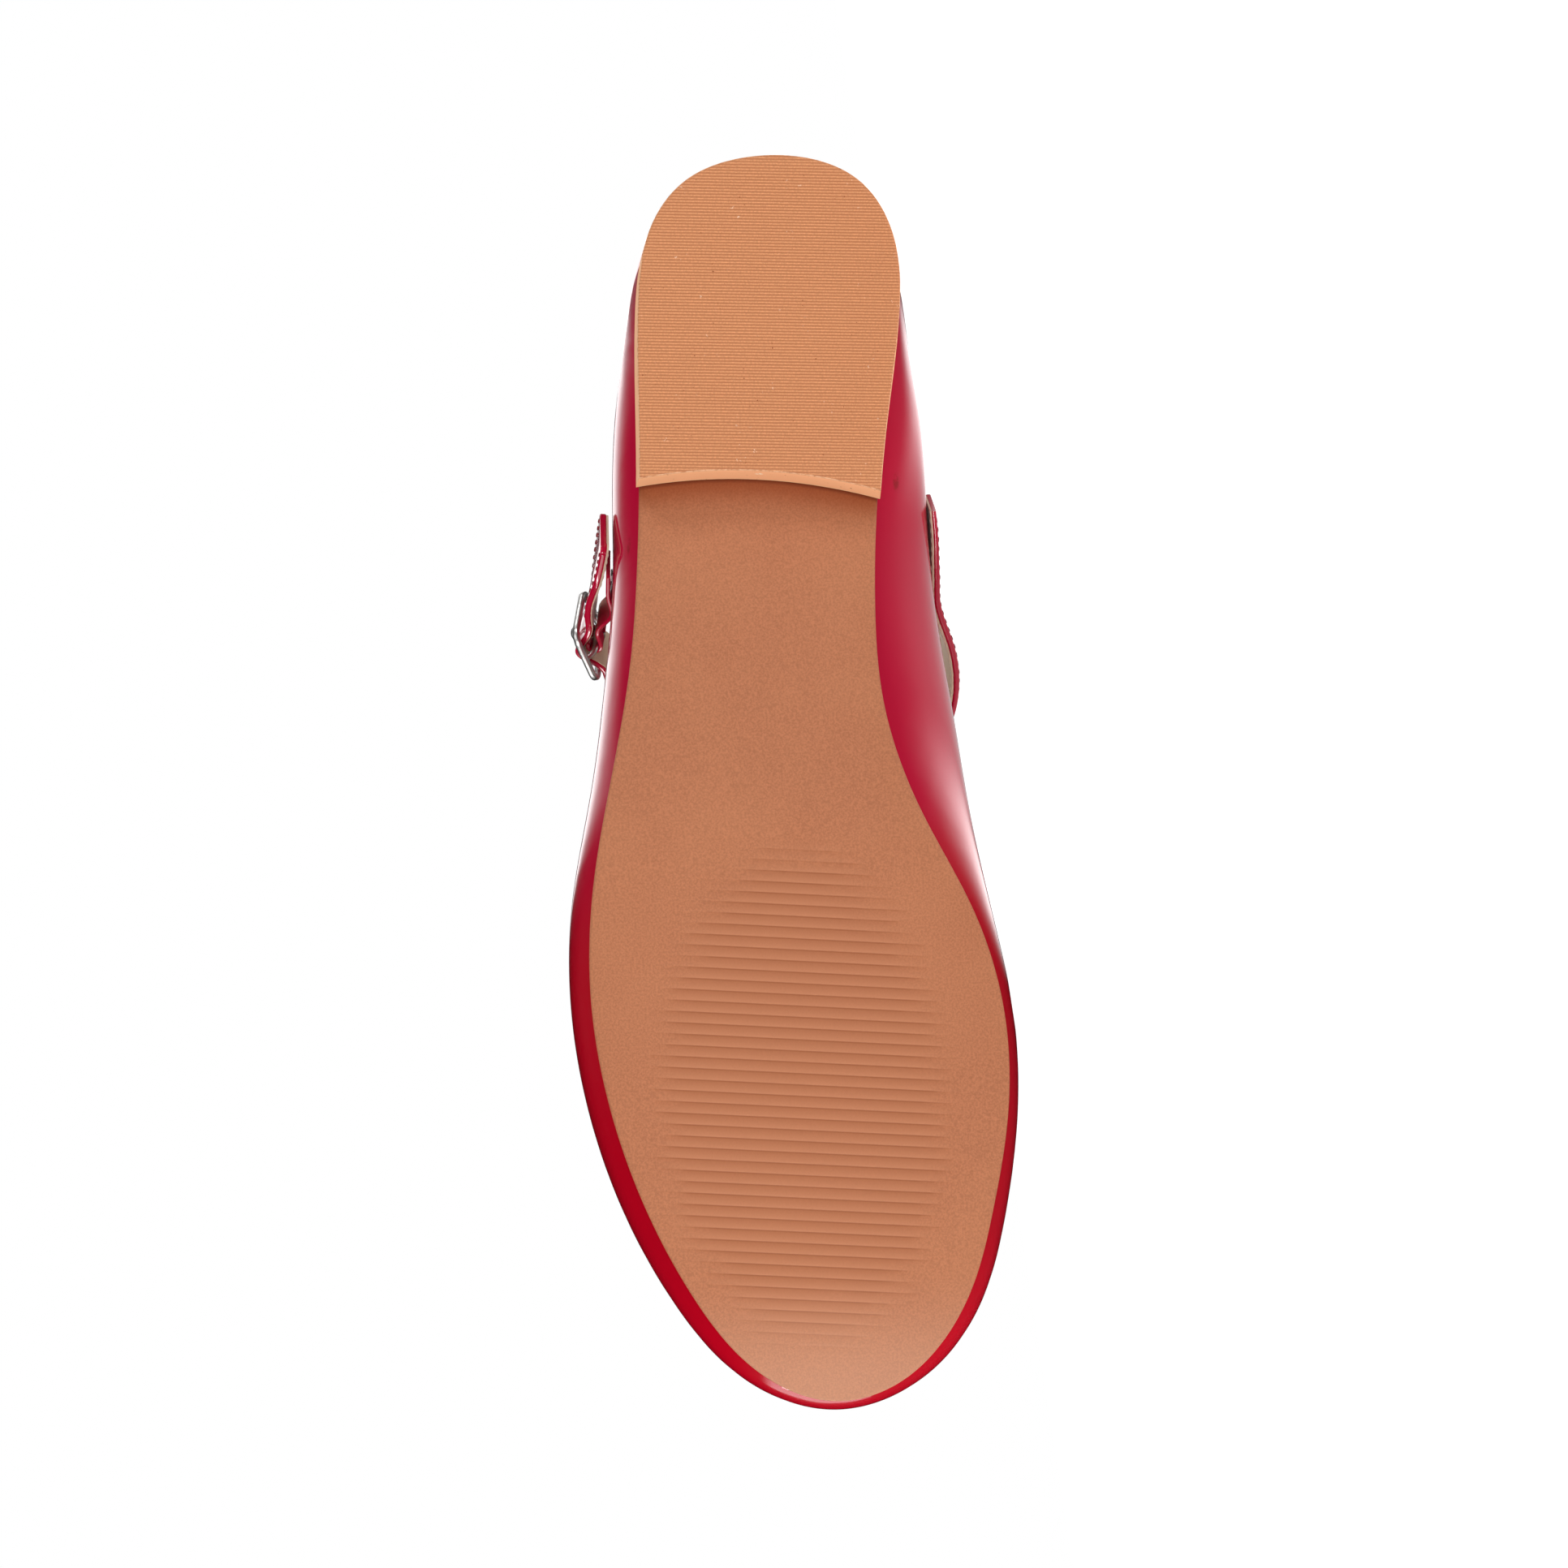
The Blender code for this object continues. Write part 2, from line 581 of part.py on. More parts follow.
def make_prong_slot(lying):
    """The cutter for the slot that lets the prong out through the tab and the strap."""
    half_along = PRONG_SLOT_ALONG / 2
    half_across = PRONG_SLOT_ACROSS / 2
    levels = (-CENTRE_BAR_DROP - 3.0, STRAP_THICKNESS + 3.0)
    sides = ((-1, 1), (1, 1), (1, -1), (-1, -1))
    rings = np.array([
        [buckle_point(PRONG_SLOT_SHIFT + a * half_along, level, c * half_across) for a, c in sides]
        for level in levels
    ])
    slot = capped_tube("prong_slot", rings, lying)
    hide_guide(slot)
    return slot


def make_buckle_frame(lying):
    """A rounded frame of wire with a dropped centre bar."""
    half_down = (FRAME_ALONG - FRAME_WIRE) / 2
    half_side = (FRAME_ACROSS - FRAME_WIRE) / 2
    loop = []
    for quarter in range(4):
        down = half_down - FRAME_CORNER
        side = half_side - FRAME_CORNER
        down *= 1 if quarter in (0, 3) else -1
        side *= 1 if quarter in (0, 1) else -1
        for step in range(5):
            angle = math.radians(90 * quarter + 22.5 * step)
            round_down = FRAME_CORNER * math.cos(angle)
            round_side = FRAME_CORNER * math.sin(angle)
            loop.append(buckle_point(down + round_down, 0.0, side + round_side))
    loop = np.array(loop)
    wrapped = round_tube(np.vstack([loop[-1:], loop, loop[:1]]), FRAME_WIRE)[1:-1]
    count, around = wrapped.shape[:2]
    faces = turned(ring_faces(count, around, closed=True))
    frame = solid("buckle_frame", wrapped.reshape(-1, 3), faces, lying)
    drop = -CENTRE_BAR_DROP
    bar = [
        buckle_point(0.0, outward, sideways)
        for sideways, outward in (
            (-half_side, 0.0), (-half_side + 1.0, 0.6 * drop), (-half_side + 2.0, drop),
            (half_side - 2.0, drop), (half_side - 1.0, 0.6 * drop), (half_side, 0.0),
        )
    ]
    centre_bar = capped_tube("centre_bar", round_tube(bar, CENTRE_BAR_WIRE), lying)
    hide_guide(centre_bar)
    union = frame.modifiers.new("centre_bar", "BOOLEAN")
    union.operation = "UNION"
    union.solver = "EXACT"
    union.object = centre_bar
    return frame


def make_prong(lying):
    """The pin: round the centre bar, out through the slot and down onto the frame's lower bar."""
    round_bar = (CENTRE_BAR_WIRE + PRONG_WIRE) / 2 + MEETING_GAP
    loop = CENTRE_BAR_WIRE / 2 + TAB_THICKNESS + 2 * SEWN_GAP
    strap_outside = loop - CENTRE_BAR_DROP + STRAP_THICKNESS
    clear_of_strap = strap_outside + MEETING_GAP + PRONG_WIRE / 2
    reach = (FRAME_ALONG - FRAME_WIRE) / 2
    on_frame = (FRAME_WIRE + PRONG_WIRE) / 2 + MEETING_GAP
    rows = [
        (0.0, -CENTRE_BAR_DROP - round_bar),
        (-0.71 * round_bar, -CENTRE_BAR_DROP - 0.71 * round_bar),
        (-round_bar, -CENTRE_BAR_DROP),
        (-round_bar, 0.4),
        (-0.7 * round_bar, clear_of_strap - 0.8),
        (0.4, clear_of_strap),
        (2.2, clear_of_strap - 0.4),
        (reach - 2.2, 0.85 * on_frame),
        (reach - 0.7 * on_frame, 0.72 * on_frame),
    ]
    points = open_spline([buckle_point(down, outward) for down, outward in rows], PRONG_STEPS)
    return capped_tube("buckle_prong", round_tube(points, PRONG_WIRE), lying)


def lie_down():
    """An empty that carries the shoe from standing to lying on its medial side."""
    lying = bpy.data.objects.new("lying_shoe", None)
    bpy.context.scene.collection.objects.link(lying)
    standing_to_side = Matrix(((-1, 0, 0), (0, 0, 1), (0, 1, 0)))
    yaw = Matrix.Rotation(math.radians(LIE_YAW), 3, "Y")
    lean = Matrix.Rotation(math.radians(LIE_LEAN), 3, "X")
    lying.matrix_world = (lean @ yaw @ standing_to_side).to_4x4()
    return lying


def settle(lying):
    """Drops the lying shoe to the floor and centres it over the origin."""
    bpy.context.view_layer.update()
    corners = np.array([
        made.matrix_world @ vertex.co
        for made in lying.children
        for vertex in made.data.vertices
        if not made.hide_render
    ])
    low = corners.min(axis=0)
    high = corners.max(axis=0)
    lying.location = Vector((-(low[0] + high[0]) / 2, -(low[1] + high[1]) / 2, -low[2]))
    bpy.context.view_layer.update()


def main():
    clear_scene()
    lying = lie_down()
    around = sections_around(AROUND)
    make_outsole(around, lying)
    make_heel(around, lying)
    make_upper(around, lying)
    make_insole(around, lying)
    outside = upper_outside(around)
    normals, _ = outward_normals(outside)
    slot = make_prong_slot(lying)
    make_strap(strap_path(outside, normals), slot, lying)
    make_tab(tab_path(outside, normals), slot, lying)
    make_buckle_frame(lying)
    make_prong(lying)
    settle(lying)


main()
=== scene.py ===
import math

import bpy
import numpy as np
from mathutils import Matrix, Vector


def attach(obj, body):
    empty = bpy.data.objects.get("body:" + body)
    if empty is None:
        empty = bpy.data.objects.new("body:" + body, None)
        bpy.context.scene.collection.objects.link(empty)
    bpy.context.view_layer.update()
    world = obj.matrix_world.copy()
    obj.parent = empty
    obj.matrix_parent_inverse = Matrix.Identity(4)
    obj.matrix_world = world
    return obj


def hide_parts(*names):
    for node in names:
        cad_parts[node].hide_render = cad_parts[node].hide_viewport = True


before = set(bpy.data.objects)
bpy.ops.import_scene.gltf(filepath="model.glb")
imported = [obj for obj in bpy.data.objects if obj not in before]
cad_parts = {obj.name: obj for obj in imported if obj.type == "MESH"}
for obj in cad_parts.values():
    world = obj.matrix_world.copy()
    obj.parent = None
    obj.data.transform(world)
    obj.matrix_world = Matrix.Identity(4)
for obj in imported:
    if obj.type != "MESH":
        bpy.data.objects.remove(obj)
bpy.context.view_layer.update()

# The looks of a left ballet flat, lying on its medial side. Shapes are worked out in the shoe's own frame, in
# millimetres: x from the heel to the toe, y to the lateral side, z up from the tread.

MM = 0.001

# Driving sizes, in mm, as in the part's source
HEEL_HEIGHT = 9.0
SOLE_THICKNESS = 3.0
TOE_SPRING = 8.0
WALL = 1.8
MEETING_GAP = 0.3
SEWN_GAP = 0.45
ARCH_START = 58.0
ARCH_END = 152.0
TOE_SPRING_START = 180.0
TOE_END = 248.2
TOE_SPRING_CURVE = 1.8
SOLE_EDGE_ROUND = 0.5
FEATHER_INSET = 1.0
LOWER_WALL_OUT = 0.42
LOWER_WALL_CLIMB = 0.25
RIM_HANDLE = 0.5
INSOLE_CLEARANCE = 0.9
INSOLE_THICKNESS = 2.4
BREAST_LATERAL_X = 66.5
BREAST_MIDDLE_X = 65.9
BREAST_MEDIAL_X = 70.9
BREAST_TILT = (BREAST_LATERAL_X - BREAST_MEDIAL_X) / 2
BREAST_BOW = (BREAST_LATERAL_X + BREAST_MEDIAL_X) / 2 - BREAST_MIDDLE_X
HEEL_FLARE = 0.6
HEEL_EDGE_ROUND = 0.5
HEEL_HALF_WIDTH = 28.0
STRAP_WIDTH = 11.0
STRAP_THICKNESS = 1.5
STRAP_SKIVE = 0.72
FRAME_ACROSS = 16.5
FRAME_ALONG = 14.5
FRAME_WIRE = 1.5
FRAME_CORNER = 2.6
CENTRE_BAR_DROP = 1.5
CENTRE_BAR_WIRE = 1.3
TAB_WIDTH = 8.0
TAB_THICKNESS = 0.9
PRONG_WIRE = 1.0
PRONG_SLOT_ALONG = 4.0
PRONG_SLOT_ACROSS = 2.2
PRONG_SLOT_SHIFT = -0.6
FRAME_HALF_DOWN = (FRAME_ALONG - FRAME_WIRE) / 2
FRAME_HALF_SIDE = (FRAME_ACROSS - FRAME_WIRE) / 2
LOOP_HEIGHT = CENTRE_BAR_WIRE / 2 + TAB_THICKNESS + 2 * SEWN_GAP - CENTRE_BAR_DROP
LIE_LEAN = 6.95
LIE_YAW = 5.34
CAD_AROUND = 112

# One row for each section around the shoe, as in the part's source
SECTION_COLUMNS = (
    "sole_x", "sole_y", "rim_x", "rim_y", "rim_z", "top_x", "top_y", "top_z", "rise", "reach", "arrive",
)
SECTIONS = {
    "heel_back": (1.6, 0.0, -4.6, 0.3, 27.0, 3.5, 0.3, 58.0, 11.0, 9.0, 72.0),
    "heel_back_lateral": (5.5, 16.8, 0.6, 16.8, 27.0, 7.8, 14.0, 57.4, 11.0, 9.0, 72.0),
    "counter_lateral": (15.0, 25.0, 11.2, 26.2, 27.0, 18.5, 21.8, 55.2, 11.0, 8.0, 72.0),
    "heel_lateral": (30.0, 28.4, 28.8, 30.9, 27.0, 34.0, 26.4, 51.8, 10.0, 7.0, 73.0),
    "seat_lateral": (46.0, 29.2, 46.0, 33.7, 27.0, 49.8, 29.4, 48.0, 9.0, 6.0, 74.0),
    "breast_lateral": (63.0, 29.7, 63.0, 35.2, 27.0, 66.0, 31.6, 44.5, 8.0, 5.0, 75.0),
    "waist_lateral": (83.0, 31.0, 83.0, 36.0, 26.0, 85.0, 33.6, 41.2, 7.0, 5.0, 75.0),
    "arch_lateral": (103.0, 33.3, 103.0, 38.4, 23.5, 105.0, 35.2, 38.8, 7.0, 5.0, 72.0),
    "joint_lateral": (126.0, 38.1, 126.0, 42.2, 19.5, 127.0, 36.6, 37.6, 7.0, 5.0, 62.0),
    "ball_lateral": (148.0, 42.6, 148.0, 46.8, 16.5, 147.0, 34.6, 37.6, 8.0, 6.0, 46.0),
    "tread_lateral": (169.5, 43.8, 169.5, 48.0, 15.2, 162.0, 29.2, 38.4, 9.0, 8.0, 32.0),
    "vamp_lateral": (190.0, 41.0, 190.5, 45.3, 15.2, 172.0, 22.6, 39.2, 10.0, 12.0, 22.0),
    "toebox_lateral": (209.0, 35.2, 210.5, 39.2, 15.6, 178.4, 15.6, 39.8, 11.0, 17.0, 16.0),
    "toe_side_lateral": (227.0, 26.5, 229.0, 29.8, 16.6, 182.2, 9.2, 40.2, 12.0, 22.0, 12.0),
    "toe_corner_lateral": (240.0, 16.7, 242.4, 18.8, 17.2, 184.0, 4.4, 40.4, 12.0, 26.0, 11.0),
    "toe": (248.2, 0.0, 250.6, -0.6, 17.6, 184.6, -1.0, 40.5, 12.0, 28.0, 10.0),
    "toe_corner_medial": (242.6, -16.5, 244.4, -19.3, 17.2, 184.0, -6.6, 40.4, 12.0, 26.0, 11.0),
    "toe_side_medial": (231.0, -25.8, 233.0, -29.2, 16.0, 182.0, -11.6, 40.2, 12.0, 22.0, 12.0),
    "toebox_medial": (213.0, -32.1, 214.0, -36.0, 15.4, 178.2, -17.6, 39.8, 11.0, 16.0, 16.0),
    "vamp_medial": (194.0, -36.0, 194.0, -39.5, 15.0, 172.0, -23.8, 39.2, 10.0, 11.0, 22.0),
    "tread_medial": (175.0, -36.3, 175.0, -39.8, 15.2, 162.0, -29.2, 38.6, 9.0, 8.0, 32.0),
    "ball_medial": (155.0, -31.5, 155.0, -37.2, 18.0, 148.4, -32.2, 38.2, 8.0, 6.0, 50.0),
    "joint_medial": (135.0, -22.5, 134.0, -34.6, 24.5, 131.0, -32.8, 38.8, 6.0, 4.0, 75.0),
    "arch_medial": (114.0, -16.6, 113.0, -33.0, 30.5, 112.0, -32.3, 40.0, 3.5, 3.0, 84.0),
    "waist_medial": (93.0, -16.0, 92.0, -30.9, 32.5, 92.5, -30.2, 41.6, 3.5, 3.0, 82.0),
    "breast_medial": (73.0, -17.6, 72.0, -29.9, 31.0, 73.0, -28.4, 44.2, 4.5, 4.0, 78.0),
    "seat_medial": (55.0, -20.2, 54.0, -29.6, 28.5, 57.0, -26.0, 47.4, 6.0, 5.0, 76.0),
    "heel_medial": (38.0, -23.1, 36.6, -27.8, 28.0, 41.0, -23.8, 50.8, 8.0, 6.0, 74.0),
    "counter_medial": (21.0, -23.6, 18.4, -25.6, 28.0, 25.0, -20.8, 54.4, 10.0, 8.0, 73.0),
    "heel_back_medial": (7.4, -16.9, 2.6, -17.8, 27.0, 9.8, -14.2, 57.2, 11.0, 9.0, 72.0),
}

# Bands sewn on the upper's outside: x along the shoe and z up it
STRAP_SEWN = {
    "cut_end": (67.5, 30.5),
    "lower": (72.5, 33.4),
    "middle": (77.0, 36.1),
    "upper": (81.0, 38.5),
    "near_topline": (84.5, 40.6),
}
TAB_SEWN = {
    "cut_end": (78.5, 26.5),
    "lower": (80.3, 29.2),
    "middle": (82.3, 32.2),
    "near_topline": (84.6, 35.6),
}

# The strap's free stretches, over the instep and below the buckle. Columns: x, y, z, then the way outward.
STRAP_OVER_INSTEP = {
    "leaving_upper": (92.0, -34.0, 46.2, 0.0, -1.0, 0.1),
    "medial_bulge": (101.0, -35.2, 53.4, 0.1, -0.97, 0.3),
    "medial_shoulder": (110.0, -31.0, 61.6, 0.1, -0.8, 0.6),
    "instep_medial": (116.0, -18.0, 68.6, 0.05, -0.42, 0.9),
    "instep": (118.0, 0.0, 71.0, 0.0, 0.0, 1.0),
    "instep_lateral": (115.5, 17.0, 68.2, 0.05, 0.42, 0.9),
    "lateral_shoulder": (108.0, 29.6, 60.4, 0.1, 0.8, 0.6),
}
STRAP_TAIL = {
    "tail": (78.4, 39.0, 32.4, 0.0, 1.0, 0.1),
    "tip": (72.1, 37.2, 22.9, -0.05, 1.0, -0.05),
}

# The buckle's pose: its centre, the way down the strap and the way outward
BUCKLE_CENTRE = (90.0, 41.2, 45.4)
BUCKLE_ALONG = (-0.64, 0.30, -0.71)
BUCKLE_OUT = (0.09, 0.94, 0.32)

# The camera, in the shoe's frame: where it aims on the tread, how far off it stands, its tilts and its lens
CAMERA_AIM = (128.44, 4.36, 0.0)
CAMERA_DISTANCE = 600.0
CAMERA_TILT_TO_TOE = 6.5
CAMERA_TILT_TO_LATERAL = 3.2
CAMERA_ROLL = -2.92
CAMERA_LENS = 70.5
CAMERA_SENSOR = 36.0

# How finely the pieces are drawn
AROUND = 800
SOLE_COLUMNS = 48
WAIST_ROWS = 120
RIB_ROWS = 12
HEEL_COLUMNS = 24
HEEL_RIB_ROWS = 6
HEEL_BENT_ROWS = 110
INSOLE_COLUMNS = 24
STRAP_STEPS = 400
TAB_STEPS = 90
PRONG_STEPS = 70
FRAME_CORNER_STEPS = 9
STITCH_RINGS = 7
STITCH_CORNERS = 6

# The forefoot's tread: convex ribs in an oval patch. Columns: x, then the patch's lateral and medial ends.
RIB_PITCH = 2.18
RIB_DEPTH = 0.11
RIB_CREST = 0.86
RIB_SLANT = 0.0985
RIB_PATCH = (
    (140.5, 14.0, 8.0),
    (142.2, 18.5, 1.5),
    (146.0, 24.0, -4.5),
    (150.3, 27.5, -11.0),
    (156.5, 29.0, -15.0),
    (162.5, 30.6, -19.0),
    (172.0, 31.2, -23.8),
    (193.0, 29.2, -24.0),
    (212.3, 23.1, -19.5),
    (226.0, 17.8, -14.6),
    (234.4, 11.6, -9.6),
    (238.0, 5.8, -5.6),
    (239.6, 1.5, -1.5),
)
RIB_FADE = 5.0
# The stretch along the shoe where rows are close enough for ribs, and where the ribs' painted shade lies: the
# middle and half width of an oval
RIBS_FROM_TO = (138.0, 241.0)
RIB_OVAL_ALONG = (190.0, 52.0)
RIB_OVAL_ACROSS = (3.6, 30.0)

# The sole's rounded ends: the radii of the heel and toe ends, and how far rows crowd near the heel's
HEEL_END_RADIUS = 25.0
TOE_END_RADIUS = 17.0
SOLE_END = 12.0
HEEL_END = 1.2

# The heel's tread: fine ridges across it
HEEL_RIB_PITCH = 0.62
HEEL_RIB_DEPTH = 0.07
HEEL_RIB_SLANT = 0.054
HEEL_STRAIGHT_TO = 60.0
# The heel's hollow front on the sole: the middle and half width across the shoe
BREAST_MIDDLE_Y = 5.95
BREAST_HALF_WIDTH = 23.85

# The insole's bed: how deep its middle lies, and the groove along its edge, from 0 in the middle to 1
INSOLE_HOLLOW = 0.5
INSOLE_GROOVE_AT = 0.86
INSOLE_GROOVE_WIDTH = 0.035
INSOLE_GROOVE_DEPTH = 0.18

# Wear: each mark's place on the shoe and its reach
SCUFFS = (((65.8, -22.5, 16.3), (2.3, 3.0, 0.85)), ((77.0, 32.4, 15.4), (2.2, 3.0, 0.7)))
GLUE_MARK = ((65.8, 6.0, 3.2), (1.3, 1.0, 0.8))

# The rounding of the bands' corners, and how far the lining stays inside the strap's edge
STRAP_CORNER = 0.42
LINING_CORNER = 0.12
LINING_INSET = 0.35
TAB_CORNER = 0.3

# The strap's spare holes, from the buckle's bar down, and the two rows of stitches across its sewn end
HOLE_RADIUS = 0.85
SPARE_HOLES = (-14.0, 11.5, 18.5)
STRAP_BOX = (2.2, 17.5)

# The topline: a folded edge with a row of stitches
FOLD_PROUD = 0.22
STITCH_LINE = 2.3
FOLD_START = 0.5
FOLD_FADE = 1.1
FURROW_DEPTH = 0.12
FURROW_WIDTH = 0.35
TURN_IN = 3.4
LINING_STEP = 0.25
LINING_STEP_FADE = 0.3
LINING_THINS_FROM = 20.0
LINING_THINS_OVER = 8.0
ROWS_NEAR_TOP = (0.9, 1.2, 1.5, 1.8, 2.05, 2.3, 2.55, 2.8, 3.1, 3.4, 3.7, 4.4, 5.6)
ROWS_BELOW = 44

# Threads
STITCH_PITCH = 2.1
STITCH_LENGTH = 1.55
STITCH_RADIUS = 0.2
STRAP_STITCH_INSET = 0.85

# The studio, in metres: a floor, and a black tent that only light and reflections meet. It glows towards the
# back. Each glow is a sum of terms: a peak strength, then ramps (axis, dark place, bright place). A fourth
# number slants a ramp: it is the share of the other axis to add.
FLOOR_SIDE = 15.0
FLOOR_COLOUR = 0.35
FLOOR_GLOW = 0.96
TENT_SIDE = 0.85
TENT_BACK = 2.6
TENT_COLOUR = 0.004
GLOWS = {
    "tent_above": ((2.1, (1, 0.0, 1.10), (0, 0.36, 0.48, 0.08), (0, 0.39, 0.30, -0.25), (1, 2.4, 1.8)),),
    "tent_toe_side": ((2.8, (1, 0.0, 0.08), (1, 0.31, 0.24), (2, 0.56, 0.46)),),
    "tent_heel_side": ((2.0, (1, 0.20, 1.10)),),
    "tent_end": ((1.6, (0, -0.1, 0.4), (2, 0.72, 0.35)),),
    "bounce": (
        (0.62, (1, -0.0230, -0.0095, -0.05), (0, 0.10, 0.02), (0, -0.030, -0.006)),
        (
            2.5, (1, -0.0221, -0.0106, 0.12), (1, 0.0023, -0.0138, 0.35), (0, 0.016, -0.014),
            (0, -0.050, -0.024),
        ),
        (1.7, (1, -0.0257, -0.0187, -0.22), (0, 0.046, 0.070), (0, 0.102, 0.086)),
    ),
}
# Softboxes: place, width, height, power, whether glossy surfaces mirror it
SOFTBOXES = {
    "toe_key": ((-0.78, -0.62, 0.28), 0.36, 0.40, 6.6, True),
    "front_fill": ((0.05, -0.72, 0.55), 0.45, 0.40, 1.5, True),
    "heel_fill": ((0.72, -0.60, 0.22), 0.24, 0.34, 2.5, True),
    "toe_rim": ((-0.78, 0.06, 0.27), 0.05, 0.20, 0.5, True),
    "heel_rim": ((0.78, 0.05, 0.24), 0.12, 0.20, 0.6, True),
    "top_fill": ((0.10, 0.12, 0.78), 0.50, 0.40, 2.0, False),
}
SOFTBOX_AIM = (0.0, 0.0, 0.04)


# Curves


def unit(vectors):
    return vectors / np.linalg.norm(vectors, axis=-1, keepdims=True)


def smooth_step(value):
    value = np.clip(value, 0.0, 1.0)
    return value * value * (3.0 - 2.0 * value)


def lengths_along(points):
    """How far along a line each of its points lies."""
    return np.concatenate([[0.0], np.cumsum(np.linalg.norm(np.diff(points, axis=0), axis=1))])


def closed_spline(marks, values):
    """The smooth closed cubic curve that passes through the values at the marks, and closes at the last."""
    count = len(values)
    gaps = np.diff(marks)
    before = np.roll(gaps, 1)
    slopes = (np.roll(values, -1, axis=0) - values) / gaps[:, None]
    one = np.eye(count)
    matrix = 2 * (before + gaps) * one
    matrix += np.roll(one, 1, axis=1) * gaps[:, None] + np.roll(one, -1, axis=1) * before[:, None]
    bends = np.linalg.solve(matrix, 6 * (slopes - np.roll(slopes, 1, axis=0)))

    def curve(where):
        where = np.mod(where, marks[-1])
        low = np.searchsorted(marks[:-1], where, side="right") - 1
        high = (low + 1) % count
        gap = gaps[low][:, None]
        past = (where - marks[low])[:, None]
        left = gap - past
        cubic = (bends[low] * left**3 + bends[high] * past**3) / (6 * gap)
        line = (values[low] / gap - bends[low] * gap / 6) * left
        return cubic + line + (values[high] / gap - bends[high] * gap / 6) * past

    return curve


def open_spline(values, steps):
    """Points evenly spread along the smooth curve through the values, by chord length."""
    values = np.array(values, float)
    there_and_back = np.concatenate([values, values[-2::-1]])
    marks = lengths_along(there_and_back[:, :3])
    last = marks[len(values) - 1]
    return closed_spline(marks, there_and_back[:-1])(np.linspace(0.0, last, steps + 1))


def bezier(start, first, second, end, where):
    left = 1.0 - where
    return start * left**3 + 3 * first * left**2 * where + 3 * second * left * where**2 + end * where**3


def open_line(points, times):
    """A line with more points on it, straight between the old ones."""
    old = np.arange(len(points))
    new = np.linspace(0, len(points) - 1, (len(points) - 1) * times + 1)
    return np.column_stack([np.interp(new, old, points[:, axis]) for axis in range(3)])


def spaced(points, pitch, margin=0.0):
    """Numbers of the points nearest to evenly spaced places along a line."""
    lengths = lengths_along(points)
    count = int((lengths[-1] - 2 * margin) / pitch)
    return np.searchsorted(lengths, margin + pitch * (np.arange(count) + 0.5))


# The last


def sections_around(count):
    """The section columns at evenly spread places: the lateral side to the toe, then the medial side back."""
    table = np.array(list(SECTIONS.values()), float)
    marks = lengths_along(np.vstack([table, table[:1]])[:, 2:4])
    toe = marks[list(SECTIONS).index("toe")]
    sides = [np.linspace(*ends, count // 2, endpoint=False) for ends in ((0.0, toe), (toe, marks[-1]))]
    return dict(zip(SECTION_COLUMNS, closed_spline(marks, table)(np.concatenate(sides)).T))


def tread_z(x):
    """The underside of the outsole: the heel seat, the arch, the flat tread and the toe spring."""
    arch = HEEL_HEIGHT * smooth_step((ARCH_END - x) / (ARCH_END - ARCH_START))
    spring = np.clip((x - TOE_SPRING_START) / (TOE_END - TOE_SPRING_START), 0.0, None)
    return arch + TOE_SPRING * spring**TOE_SPRING_CURVE


def above_sole_z(x):
    """The level of the feather line and of the insole's underside."""
    return tread_z(x) + SOLE_THICKNESS + MEETING_GAP


def inset(outline, distance):
    """A closed outline, lateral side first, moved inwards in plan."""
    along = np.roll(outline, -1, axis=0) - np.roll(outline, 1, axis=0)
    return outline + distance * unit(np.stack([along[:, 1], -along[:, 0]], axis=1))


def with_z(outline, z):
    return np.column_stack([outline, np.broadcast_to(z, len(outline))])


def sole_outline(around):
    return np.column_stack([around["sole_x"], around["sole_y"]])


# Placing: the shoe lies as its solids do


def lying_turn():
    standing_to_side = Matrix(((-1, 0, 0), (0, 0, 1), (0, 1, 0)))
    yaw = Matrix.Rotation(math.radians(LIE_YAW), 3, "Y")
    lean = Matrix.Rotation(math.radians(LIE_LEAN), 3, "X")
    return np.array(lean @ yaw @ standing_to_side)


def middle(points):
    return (points.min(axis=0) + points.max(axis=0)) / 2


def lying_place():
    """Where the shoe's origin lies, found by matching the outsole's box to its solid's."""
    outline = sole_outline(sections_around(CAD_AROUND))
    eased = inset(outline, SOLE_EDGE_ROUND)
    own = np.vstack([
        with_z(eased, tread_z(eased[:, 0])),
        with_z(outline, tread_z(outline[:, 0]) + SOLE_THICKNESS - SOLE_EDGE_ROUND),
        with_z(eased, tread_z(eased[:, 0]) + SOLE_THICKNESS),
    ])
    cad = np.array([vertex.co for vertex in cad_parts["outsole"].data.vertices]) / MM
    return TURN @ (middle(cad @ TURN) - middle(own))


TURN = lying_turn()
PLACE = lying_place()


def placed(points):
    """Points of the shoe's frame in mm, as points of the row's frame in metres."""
    return (np.asarray(points) @ TURN.T + PLACE) * MM


# Meshes


def added(name, data):
    """A new object in the scene."""
    made = bpy.data.objects.new(name, data)
    bpy.context.scene.collection.objects.link(made)
    return made


